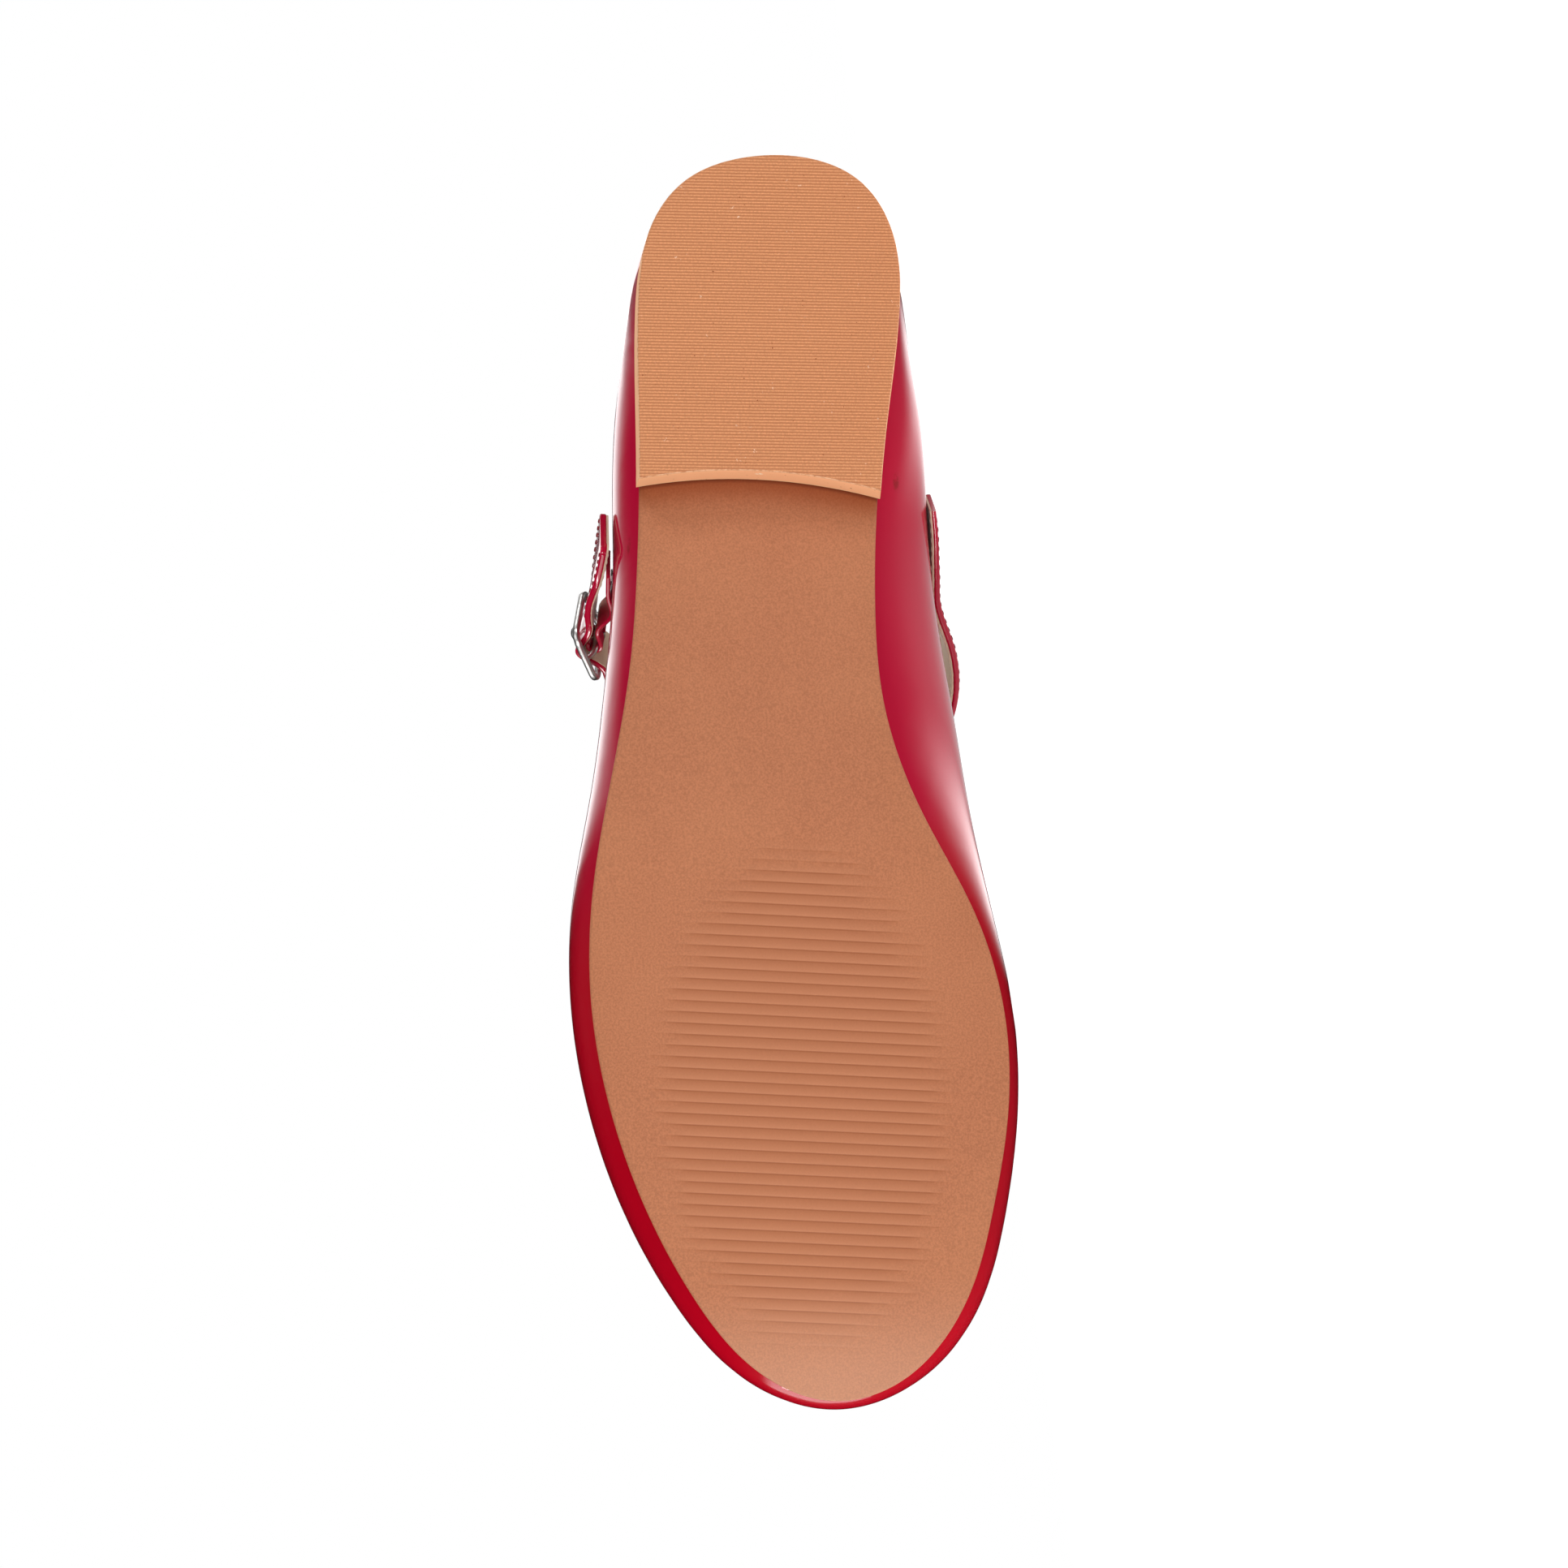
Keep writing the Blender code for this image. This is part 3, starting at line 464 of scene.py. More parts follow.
def add_piece(name, points, polygons, looks, look_of=None, sharp=None):
    """A mesh from points in mm and arrays of faces. It keeps each point's place for its material."""
    mesh = bpy.data.meshes.new(name)
    corners = np.concatenate([each.ravel() for each in polygons])
    sizes = np.concatenate([np.full(len(each), each.shape[1]) for each in polygons])
    mesh.vertices.add(len(points))
    mesh.vertices.foreach_set("co", placed(points).ravel())
    mesh.loops.add(len(corners))
    mesh.loops.foreach_set("vertex_index", corners)
    mesh.polygons.add(len(sizes))
    mesh.polygons.foreach_set("loop_start", np.concatenate([[0], np.cumsum(sizes)[:-1]]))
    for look in looks:
        mesh.materials.append(look)
    if look_of is not None:
        mesh.polygons.foreach_set("material_index", look_of)
    spot = mesh.attributes.new("shoe", "FLOAT_VECTOR", "POINT")
    spot.data.foreach_set("vector", points.ravel())
    mesh.update(calc_edges=True)
    mesh.validate()
    mesh.shade_smooth()
    if sharp is not None:
        mesh.set_sharp_from_angle(angle=math.radians(sharp))
    piece = added(name, mesh)
    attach(piece, "root")
    return piece


def turned(faces):
    return faces[:, ::-1]


def ring_quads(rings, around, closed=False):
    """Quads between neighbouring rings of points; closed joins the last ring to the first."""
    ring = np.arange(rings if closed else rings - 1)[:, None]
    step = np.arange(around)[None, :]
    after = (step + 1) % around
    low = ring * around
    high = (ring + 1) % rings * around
    return np.stack([low + step, high + step, high + after, low + after], axis=2).reshape(-1, 4)


def tube_faces(rings, around, start=0):
    """Faces of a tube of rings from a first point on: its quads, then its two flat ends."""
    ends = np.array([np.arange(around)[::-1], np.arange(around) + (rings - 1) * around])
    return [turned(ring_quads(rings, around)) + start, ends + start]


def tube_piece(name, rings, look, sharp=None):
    """A closed tube from rings, with flat ends."""
    return add_piece(name, rings.reshape(-1, 3), tube_faces(*rings.shape[:2]), [look], sharp=sharp)


def grid_quads(grid):
    return np.stack([grid[:-1, :-1], grid[1:, :-1], grid[1:, 1:], grid[:-1, 1:]], axis=2).reshape(-1, 4)


def heel_fan(grid):
    """Triangles from a grid's first row, which is one point, to its second."""
    return np.stack([grid[0, :-1], grid[1, :-1], grid[1, 1:]], axis=1)


def rung_grid(around, columns, ring_start, first_free):
    """Vertex numbers of a grid of rungs across a ring from its heel end to its toe end."""
    half = around // 2
    grid = np.empty((half + 1, columns + 1), int)
    grid[1:half, 1:columns] = first_free + np.arange((half - 1) * (columns - 1)).reshape(half - 1, -1)
    grid[:, 0] = ring_start + np.arange(half + 1)
    grid[:, columns] = ring_start + (around - np.arange(half + 1)) % around
    grid[0] = ring_start
    grid[half] = ring_start + half
    return grid


def rung_faces(grid):
    """Quads of a rung grid, with triangles at its two pointed ends."""
    toe = np.stack([grid[-2, :-1], grid[-1, :-1], grid[-2, 1:]], axis=1)
    return [grid_quads(grid[1:-1]), np.concatenate([heel_fan(grid), toe])]


def rungs_between(outline, columns):
    """Plan points of the rungs' inner columns, between the two sides of an outline."""
    half = len(outline) // 2
    lateral = outline[1:half]
    medial = outline[:half:-1]
    share = (np.arange(1, columns) / columns)[None, :, None]
    return (lateral[:, None] * (1 - share) + medial[:, None] * share).reshape(-1, 2)


def sole_sides(slant):
    """The sole's two sides, each from its first to its last crossing of slanted lines: crossing, x, y."""
    outline = sole_outline(sections_around(6000))
    crossing = outline[:, 0] + slant * outline[:, 1]
    table = np.column_stack([crossing, outline])
    table = np.roll(table, -int(np.argmin(crossing)), axis=0)
    last = int(np.argmax(table[:, 0]))
    return table[: last + 1], np.vstack([table[:1], table[:last - 1:-1]])


def crossing_rows(side, crossings):
    """Plan points of one side of the sole where it crosses the slanted lines."""
    return np.column_stack([np.interp(crossings, side[:, 0], side[:, axis]) for axis in (1, 2)])


def crowded(radius, reach, step):
    """Distances from a rounded end, so close near it that points round the end stay about a step apart."""
    angle = math.acos(1.0 - reach / radius)
    count = math.ceil(radius * angle / step)
    return radius * (1.0 - np.cos(angle * np.arange(count) / count))


# The upper


def outside_curves(around, low_steps=30, high_steps=80):
    """Points up the upper's outside at each column, from the feather line to the topline."""
    plan, upright = np.array([1.0, 1.0, 0.0]), np.array([0.0, 0.0, 1.0])
    foot = inset(sole_outline(around), FEATHER_INSET)
    feather = with_z(foot, above_sole_z(foot[:, 0]))
    rim, top = (np.column_stack([around[f"{edge}_{axis}"] for axis in "xyz"]) for edge in ("rim", "top"))
    climb = (rim - feather) * upright
    leaving = feather + LOWER_WALL_OUT * (rim - feather) * plan + LOWER_WALL_CLIMB * climb
    inwards = (top - rim) * plan
    inwards /= np.maximum(np.linalg.norm(inwards, axis=1), 0.5)[:, None]
    slope = np.radians(around["arrive"])[:, None]
    arriving = inwards * np.cos(slope) + upright * np.sin(slope)
    rise = around["rise"][:, None] * upright
    reach = around["reach"][:, None] * arriving
    entering = rim - RIM_HANDLE * climb
    low = [bezier(feather, leaving, entering, rim, step / low_steps) for step in range(low_steps)]
    high = [bezier(rim, rim + rise, top - reach, top, step / high_steps) for step in range(high_steps + 1)]
    return np.array(low + high)


def wall_rows(curves, near_top, rest):
    """Resamples the curves at set distances below the topline, then evenly down to the feather line."""
    lengths = np.linalg.norm(np.diff(curves, axis=0), axis=2)
    from_top = np.concatenate([np.cumsum(lengths[::-1], axis=0)[::-1], np.zeros((1, curves.shape[1]))])
    rows = np.empty((rest + len(near_top), curves.shape[1], 3))
    down = np.empty(rows.shape[:2])
    last = near_top[-1]
    for column, whole in enumerate(from_top[0]):
        wanted = np.concatenate([near_top, last + (whole - last) * np.arange(1, rest + 1) / rest])[::-1]
        down[:, column] = wanted
        for axis in range(3):
            rows[:, column, axis] = np.interp(wanted, from_top[::-1, column], curves[::-1, column, axis])
    return rows, down


def outward_normals(rings):
    """The outward and the upward direction at each point of rings that climb a wall."""
    around = np.roll(rings, -1, axis=1) - np.roll(rings, 1, axis=1)
    up = np.gradient(rings, axis=0)
    return unit(np.cross(up, around)), unit(up)


def at_height(climb, z, table):
    """The values of a table where each column of a wall climbs to z. climb holds the wall's heights."""
    return np.array([
        [np.interp(height, climb[:, column], values) for values in table[:, column].T]
        for column, height in enumerate(np.broadcast_to(z, climb.shape[1]))
    ])


def fold_height(down):
    """How far the folded topline stands proud, with a furrow pulled in by the stitches."""
    fold = FOLD_PROUD * (1.0 - smooth_step((down - STITCH_LINE + FOLD_START) / FOLD_FADE))
    return fold - FURROW_DEPTH * np.exp(-((down - STITCH_LINE) / FURROW_WIDTH) ** 2)


def make_upper(looks):
    """The hollow upper: patent outside and over the topline, lining inside."""
    near_top = np.array(ROWS_NEAR_TOP)
    rows, down = wall_rows(outside_curves(sections_around(AROUND)), near_top, ROWS_BELOW)
    normals, up = outward_normals(rows)
    outside = rows + normals * fold_height(down)[:, :, None]
    step = LINING_STEP * smooth_step((down - TURN_IN) / LINING_STEP_FADE)
    step *= 1.0 - smooth_step((down - LINING_THINS_FROM) / LINING_THINS_OVER)
    inside = rows - normals * (WALL + step)[:, :, None]
    centre = (outside[-1] + inside[-1]) / 2
    arm = (outside[-1] - inside[-1]) / 2
    lift = up[-1] * np.linalg.norm(arm, axis=1)[:, None]
    turns = np.radians(range(20, 161, 20))
    arc = [centre + arm * math.cos(angle) + lift * math.sin(angle) for angle in turns]
    foot = with_z(inside[0, :, :2], rows[0, :, 2])
    rings = np.concatenate([outside, arc, inside[::-1], foot[None]])
    lining_from = len(outside) + len(arc) + int(np.sum(near_top < TURN_IN))
    look_of = np.repeat((np.arange(len(rings)) >= lining_from).astype(int), AROUND)
    quads = ring_quads(len(rings), AROUND, closed=True)
    piece = add_piece("upper_patent", rings.reshape(-1, 3), [quads], looks, look_of=look_of)
    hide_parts("upper")
    return rows, normals, down


# The bottom


def rib_patch_share(x, y):
    """1 inside the ribbed patch of the forefoot, fading to 0 across its edge."""
    along, lateral, medial = np.array(RIB_PATCH).T
    lateral = np.interp(x, along, lateral, left=-99.0, right=-99.0)
    medial = np.interp(x, along, medial, left=99.0, right=99.0)
    return smooth_step(np.minimum(lateral - y, y - medial) / RIB_FADE + 0.35)


def forefoot_ribs(x, y):
    """How far the tread is cut away between its ribs. Each rib climbs softly towards the toe, then drops."""
    place = (x + RIB_SLANT * y) / RIB_PITCH % 1.0
    climb = 1.0 - (1.0 - np.minimum(place / RIB_CREST, 1.0)) ** 2
    drop = smooth_step((place - RIB_CREST) / (1.0 - RIB_CREST))
    return RIB_DEPTH * (1.0 - climb * (1.0 - drop)) * rib_patch_share(x, y)


def outsole_ring():
    """The outsole's outline, with points where rows along the ribs cross it, close over the ribs."""
    lateral, medial = sole_sides(RIB_SLANT)
    low, high = lateral[0, 0], lateral[-1, 0]
    first_rib, last_rib = (RIB_PITCH * math.floor(end / RIB_PITCH) for end in RIBS_FROM_TO)
    rows = np.concatenate([
        low + crowded(HEEL_END_RADIUS, SOLE_END, 1.0)[1:],
        np.linspace(low + SOLE_END, first_rib, WAIST_ROWS, endpoint=False),
        np.arange(first_rib, last_rib, RIB_PITCH / RIB_ROWS),
        high - crowded(TOE_END_RADIUS, high - last_rib, 0.4)[:0:-1],
    ])
    sides = crossing_rows(lateral, rows), crossing_rows(medial, rows)[::-1]
    return np.vstack([lateral[:1, 1:], sides[0], lateral[-1:, 1:], sides[1]])


def make_outsole(look):
    outline = outsole_ring()
    around = len(outline)
    rings = []
    for level, way in ((0.0, 1), (SOLE_THICKNESS, -1)):
        for angle in np.radians((0, 30, 60, 90)[::way]):
            ring = inset(outline, SOLE_EDGE_ROUND * (1 - math.sin(angle)))
            rise = way * SOLE_EDGE_ROUND * (1 - math.cos(angle))
            rings.append(with_z(ring, tread_z(ring[:, 0]) + level + rise))
    inner = rungs_between(inset(outline, SOLE_EDGE_ROUND), SOLE_COLUMNS)
    under = with_z(inner, tread_z(inner[:, 0]) + forefoot_ribs(*inner.T))
    top = rung_faces(rung_grid(around, 1, (len(rings) - 1) * around, 0))
    piece = add_piece(
        "outsole_resin",
        np.concatenate(rings + [under]),
        [
            ring_quads(len(rings), around),
            *rung_faces(rung_grid(around, SOLE_COLUMNS, 0, len(rings) * around)),
            *map(turned, top),
        ],
        [look],
    )
    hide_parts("outsole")


def breast_x(y, lateral_y, medial_y):
    """The heel's hollow front, as a parabola across the shoe through its two corners and its middle."""
    across = (y - (lateral_y + medial_y) / 2) / ((lateral_y - medial_y) / 2)
    return BREAST_MIDDLE_X + BREAST_TILT * across + BREAST_BOW * across**2


def heel_plan():
    """Plan points of the heel in rows along its ridges, bending in the last stretch to its hollow front."""
    lateral, medial = sole_sides(HEEL_RIB_SLANT)
    low = lateral[0, 0]
    first_ridge = HEEL_RIB_PITCH * math.ceil((low + HEEL_END) / HEEL_RIB_PITCH)
    straight = np.arange(first_ridge, HEEL_STRAIGHT_TO, HEEL_RIB_PITCH / HEEL_RIB_ROWS)
    crossings = np.concatenate([low + crowded(HEEL_END_RADIUS, HEEL_END, 0.6), straight])
    near = np.linspace(0.0, 1.0, HEEL_BENT_ROWS + 1)[1:]
    sides = []
    for side, last_x in ((lateral, BREAST_LATERAL_X), (medial, BREAST_MEDIAL_X)):
        last = np.interp(last_x, side[:, 1], side[:, 0])
        bent = crossings[-1] + (last - crossings[-1]) * near
        sides.append(crossing_rows(side, np.concatenate([crossings, bent])))
    lateral, medial = sides
    share = np.linspace(0.0, 1.0, HEEL_COLUMNS + 1)[None, :, None]
    plan = lateral[:, None] * (1 - share) + medial[:, None] * share
    bow = breast_x(plan[-1, :, 1], lateral[-1, 1], medial[-1, 1]) - plan[-1, :, 0]
    bending = np.concatenate([np.zeros(len(crossings)), near])
    plan[:, :, 0] += bow * bending[:, None]
    return plan


def heel_ridges(x, y):
    along = (x + HEEL_RIB_SLANT * y) / HEEL_RIB_PITCH
    return HEEL_RIB_DEPTH * (0.5 - 0.5 * np.cos(2 * math.pi * along))


def make_heel(look):
    plan = heel_plan()
    flat = plan.reshape(-1, 2)
    start = len(flat)
    numbers = np.arange(start).reshape(plan.shape[:2])
    numbers[0] = 0
    edge = np.concatenate([numbers[:, 0], numbers[-1, 1:], numbers[-2:0:-1, -1]])
    outline = flat[edge]
    centre = outline.mean(axis=0)
    eased = centre + (flat - centre) * (1.0 - HEEL_EDGE_ROUND / HEEL_HALF_WIDTH)
    widened = centre + (outline - centre) * (1.0 + HEEL_FLARE / HEEL_HALF_WIDTH)
    widened[:, 0] = np.where(outline[:, 0] > centre[0], outline[:, 0], widened[:, 0])
    rise = heel_ridges(*eased.T)
    rise[edge] = 0.0
    wall = tread_z(widened[:, 0]) - MEETING_GAP - HEEL_EDGE_ROUND
    rings = [
        with_z(eased[edge] + (outline - eased[edge]) * share, height * HEEL_EDGE_ROUND)
        for share, height in ((0.5, 0.07), (0.87, 0.5), (1.0, 1.0))
    ]
    for share in (0.35, 0.7, 1.0):
        rings.append(with_z(outline + (widened - outline) * share, HEEL_EDGE_ROUND + wall * share))
    around = len(edge)
    ring = start + np.arange(around)
    piece = add_piece(
        "heel_block",
        np.concatenate([with_z(eased, rise)] + rings),
        [
            grid_quads(numbers[1:]),
            heel_fan(numbers),
            np.stack([edge, ring, np.roll(ring, -1), np.roll(edge, -1)], axis=1),
            ring_quads(len(rings), around) + start,
            (ring + (len(rings) - 1) * around)[None, ::-1],
        ],
        [look],
        sharp=50.0,
    )
    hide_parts("heel")


def make_insole(look):
    """The sock lining: a soft-edged bed that fills the upper's foot."""
    rows, _ = wall_rows(outside_curves(sections_around(AROUND)), np.array([0.0]), 60)
    normals, _ = outward_normals(rows)
    inside = rows - WALL * normals
    rings = []
    for height, pull in ((0.0, 0.0), (0.5, 0.0), (0.8, 0.05), (0.94, 0.35), (1.0, 0.95)):
        rise = INSOLE_THICKNESS * height
        ring = at_height(inside[:, :, 2], rows[0, :, 2] + rise, inside[:, :, :2])
        ring = inset(ring, INSOLE_CLEARANCE + pull)
        rings.append(with_z(ring, above_sole_z(ring[:, 0]) + rise))
    inner = rungs_between(rings[-1][:, :2], INSOLE_COLUMNS)
    across = np.tile(np.arange(1, INSOLE_COLUMNS) / INSOLE_COLUMNS * 2 - 1, AROUND // 2 - 1)
    hollow = INSOLE_HOLLOW * (1.0 - across**2)
    off_groove = (np.abs(across) - INSOLE_GROOVE_AT) / INSOLE_GROOVE_WIDTH
    groove = INSOLE_GROOVE_DEPTH * np.exp(-off_groove**2)
    bed = with_z(inner, above_sole_z(inner[:, 0]) + INSOLE_THICKNESS - hollow - groove)
    last = (len(rings) - 1) * AROUND
    top = rung_faces(rung_grid(AROUND, INSOLE_COLUMNS, last, last + AROUND))
    piece = add_piece(
        "insole_sock",
        np.concatenate(rings + [bed]),
        [ring_quads(len(rings), AROUND), *map(turned, top), *rung_faces(rung_grid(AROUND, 1, 0, 0))],
        [look],
    )
    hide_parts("insole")


# The strap, its tab and its buckle


def frames_along(path):
    """Points of a ribbon with its direction, its outward normal and its direction across."""
    points, outwards = path[:, :3], path[:, 3:6]
    along = unit(np.gradient(points, axis=0))
    out = unit(outwards - along * np.sum(outwards * along, axis=1)[:, None])
    return points, along, out, np.cross(along, out)


def band_rings(path, half, low, high, corner):
    """Rings of a band with rounded corners. half, low and high are numbers or one value for each ring."""
    points, _, out, across = frames_along(path)
    half, low, high = (np.broadcast_to(each, len(points)) for each in (half, low, high))
    rings = []
    for side, level, start in ((1, high - corner, 90), (1, low + corner, 0), (-1, low + corner, -90),
                               (-1, high - corner, -180)):
        for angle in np.radians(start - 22.5 * np.arange(5)):
            sideways = side * (half - corner) + corner * math.cos(angle)
            outwards = level + corner * math.sin(angle)
            rings.append(points + across * sideways[:, None] + out * outwards[:, None])
    return np.stack(rings, axis=1)


def wall_point(rows, normals, x, z, side):
    """The upper's outside at x and z, on the lateral (+1) or medial (-1) side: its point and normal."""
    half = rows.shape[1] // 2
    chosen = slice(1, half) if side > 0 else slice(half + 1, None)
    table = np.concatenate([rows[:, chosen, :2], normals[:, chosen]], axis=2)
    level = at_height(rows[:, chosen, 2], z, table)
    level = level[np.argsort(level[:, 0])]
    y, *normal = [np.interp(x, level[:, 0], values) for values in level.T[1:]]
    return np.array([x, y, z]), np.array(normal)


def sewn_rows(rows, normals, table, side, thickness):
    """Path rows of a band that lies flat on the upper."""
    stand_off = SEWN_GAP + thickness / 2
    found = [wall_point(rows, normals, x, z, side) for x, z in table.values()]
    return [np.concatenate([point + stand_off * normal, normal]) for point, normal in found]


def buckle_axes():
    """The way down the strap at the buckle, the way outward and the way across."""
    along = unit(np.array(BUCKLE_ALONG))
    out = unit(np.array(BUCKLE_OUT) - along * np.dot(BUCKLE_OUT, along))
    return along, out, np.cross(along, out)


def buckle_point(*distances):
    """A point given by its distances from the buckle's centre: down the strap, outward and across."""
    return np.array(BUCKLE_CENTRE) + sum(far * way for far, way in zip(distances, buckle_axes()))


def strap_path(rows, normals):
    """Rows from the sewn end, over the instep, over the centre bar and under both ends of the frame.

    The last column is the thickness of the lining that hangs below the strap."""
    _, out, _ = buckle_axes()
    under = -(FRAME_WIRE + STRAP_THICKNESS) / 2 - MEETING_GAP
    over = LOOP_HEIGHT + STRAP_THICKNESS / 2
    path = [np.append(row, 0.6) for row in sewn_rows(rows, normals, STRAP_SEWN, -1, STRAP_THICKNESS)]
    path[0][:3] -= (1.0 - STRAP_SKIVE) * STRAP_THICKNESS / 2 * path[0][3:6]
    path += [np.append(row, 0.45) for row in STRAP_OVER_INSTEP.values()]
    path += [
        np.concatenate([buckle_point(down, outward), out, [0.15]])
        for down, outward in (
            (-FRAME_HALF_DOWN - 0.8, under - 0.1), (1.0 - FRAME_HALF_DOWN, under - 0.1), (0.0, over),
            (FRAME_HALF_DOWN - 1.4, under - 0.5), (FRAME_HALF_DOWN + 0.8, under - 1.3),
        )
    ]
    path += [np.append(row, 0.45) for row in STRAP_TAIL.values()]
    return open_spline(path, STRAP_STEPS)


def tab_path(rows, normals):
    """Rows from the tab's sewn end up to the centre bar and most of the way round it."""
    along, out, _ = buckle_axes()
    path = sewn_rows(rows, normals, TAB_SEWN, 1, TAB_THICKNESS)
    radius = CENTRE_BAR_WIRE / 2 + MEETING_GAP + TAB_THICKNESS / 2
    path.append(np.concatenate([buckle_point(3.6, -CENTRE_BAR_DROP - radius - 0.5), out]))
    for angle in np.radians(range(0, 226, 45)):
        away = -out * math.cos(angle) - along * math.sin(angle)
        path.append(np.concatenate([buckle_point(0.0, -CENTRE_BAR_DROP) + radius * away, -away]))
    return open_spline(path, TAB_STEPS)


def cutter(name, outlines, push):
    """One mesh of straight punches for a Boolean, each from an outline pushed out to both sides."""
    corners = outlines.shape[1]
    points = np.stack([outlines - push, outlines + push], axis=1).reshape(-1, 3)
    faces = []
    for start in range(0, len(points), 2 * corners):
        for part in tube_faces(2, corners, start):
            faces += part.tolist()
    mesh = bpy.data.meshes.new(name)
    mesh.from_pydata(placed(points), [], faces)
    return added(name, mesh)


def round_punches(centres, axis):
    """The cutter for the strap's spare holes."""
    side = unit(np.cross(axis, (0.3, 0.5, 0.8)))
    other = np.cross(axis, side)
    angles = (np.arange(20) * 2 * math.pi / 20)[:, None]
    round_hole = HOLE_RADIUS * (np.cos(angles) * side + np.sin(angles) * other)
    return cutter("strap_punch", centres[:, None] + round_hole, 2.5 * axis)


def prong_way():
    """The cutter for the slot that lets the prong out through the tab and the strap."""
    _, out, _ = buckle_axes()
    low, high = -CENTRE_BAR_DROP - 3.0, STRAP_THICKNESS + 3.0
    half_down, half_across, level = PRONG_SLOT_ALONG / 2, PRONG_SLOT_ACROSS / 2, (low + high) / 2
    outline = [
        buckle_point(PRONG_SLOT_SHIFT + down * half_down, level, across * half_across)
        for down, across in ((-1, 1), (1, 1), (1, -1), (-1, -1))
    ]
    return cutter("prong_way", np.array([outline]), (high - low) / 2 * out)


def punch(pieces, tools):
    """Cuts the tools from the pieces and applies the cuts, so that nothing of the tools is left."""
    for piece in pieces:
        for tool in tools:
            boolean = piece.modifiers.new("punch", "BOOLEAN")
            boolean.solver = "EXACT"
            boolean.object = tool
            bpy.context.view_layer.update()
            evaluated = piece.evaluated_get(bpy.context.evaluated_depsgraph_get())
            cut = bpy.data.meshes.new_from_object(evaluated)
            piece.modifiers.clear()
            piece.data = cut
    for tool in tools:
        bpy.data.objects.remove(tool, do_unlink=True)


def thread_stitches(name, places, along, out, look, proud):
    """A row of stitches as one piece: short threads that dip into the surface at both ends."""
    share = np.linspace(-1.0, 1.0, STITCH_RINGS)[:, None]
    lift = proud + STITCH_RADIUS * 0.4 - 0.32 * share**4
    swell = STITCH_RADIUS * np.sqrt(np.clip(1.04 - share**6, 0.1, 1.0))
    angles = (np.arange(STITCH_CORNERS) * 2 * math.pi / STITCH_CORNERS)[:, None]
    places, along, out = (each[:, None] for each in (places, along, out))
    centres = places + along * share * STITCH_LENGTH / 2 + out * lift
    spokes = np.cos(angles) * np.cross(along, out) + np.sin(angles) * out
    points = (centres[:, :, None] + swell[:, None] * spokes[:, None]).reshape(-1, 3)
    starts = range(0, len(points), STITCH_RINGS * STITCH_CORNERS)
    faces = zip(*(tube_faces(STITCH_RINGS, STITCH_CORNERS, start) for start in starts))
    return add_piece(name, points, [np.concatenate(each) for each in faces], [look])


def topline_stitches(rows, normals, down, look):
    row = int(np.argmin(np.abs(down[:, 0] - STITCH_LINE)))
    fine, outwards = (open_line(np.vstack([each[row], each[row][:1]]), 6) for each in (rows, normals))
    along = unit(np.gradient(fine, axis=0))
    chosen = spaced(fine, STITCH_PITCH)
    thread_stitches("topline_stitches", fine[chosen], along[chosen], outwards[chosen], look, -0.08)


def tip_halves(path, corner=1.6):
    """The strap's half width at each ring: its corners are rounded off at the tip."""
    lengths = lengths_along(path[::-1, :3])[::-1]
    into = np.clip(corner - lengths, 0.0, corner)
    return STRAP_WIDTH / 2 - (corner - np.sqrt(np.maximum(corner**2 - into**2, 0.0))) * 0.9


def buckle_span(path):
    """The first and last place of the strap that the buckle covers."""
    far = np.linalg.norm(path[:, :3] - np.array(BUCKLE_CENTRE), axis=1)
    near = np.where(far < FRAME_ALONG / 2 + 0.8)[0]
    return near[0], near[-1]


def spare_holes(path):
    """Places of the strap's spare holes: two below the buckle and one above it."""
    lengths = lengths_along(path[:, :3])
    low, high = buckle_span(path)
    bar = (lengths[low] + lengths[high]) / 2
    return np.searchsorted(lengths, bar + np.array(SPARE_HOLES))


def strap_stitches(path, half, deep, hang, looks):
    """Two rows of stitches along the strap, seen on both faces where it is free, and two rows across."""
    points, along, out, across = frames_along(path)
    skip_low, skip_high = buckle_span(path)
    for name, side in (("strap_stitches_toe_side", 1.0), ("strap_stitches_heel_side", -1.0)):
        fine = open_line(points + across * side * (half - STRAP_STITCH_INSET)[:, None], 6)
        chosen = spaced(fine, STITCH_PITCH, margin=1.2)
        number = np.clip(chosen // 6, 0, len(path) - 1)
        keep = (number < skip_low) | (number > skip_high)
        chosen, number = chosen[keep], number[keep]
        top = fine[chosen] + out[number] * deep[number][:, None]
        thread_stitches(name, top, along[number], out[number], looks["thread"], -0.06)
        free = path[number, 6] > 0.3
        chosen, number = chosen[free], number[free]
        low = fine[chosen] + out[number] * hang[number][:, None]
        cream = looks["cream_thread"]
        thread_stitches(name + "_under", low, along[number], -out[number], cream, -0.1)
    steps = np.arange(-3.4, 3.5, STITCH_PITCH * 0.8)
    ends = np.repeat(np.searchsorted(lengths_along(points), STRAP_BOX), len(steps))
    places = points[ends] + across[ends] * np.tile(steps, 2)[:, None] + out[ends] * deep[ends][:, None]
    thread_stitches("strap_box_stitches", places, across[ends], out[ends], looks["thread"], -0.06)


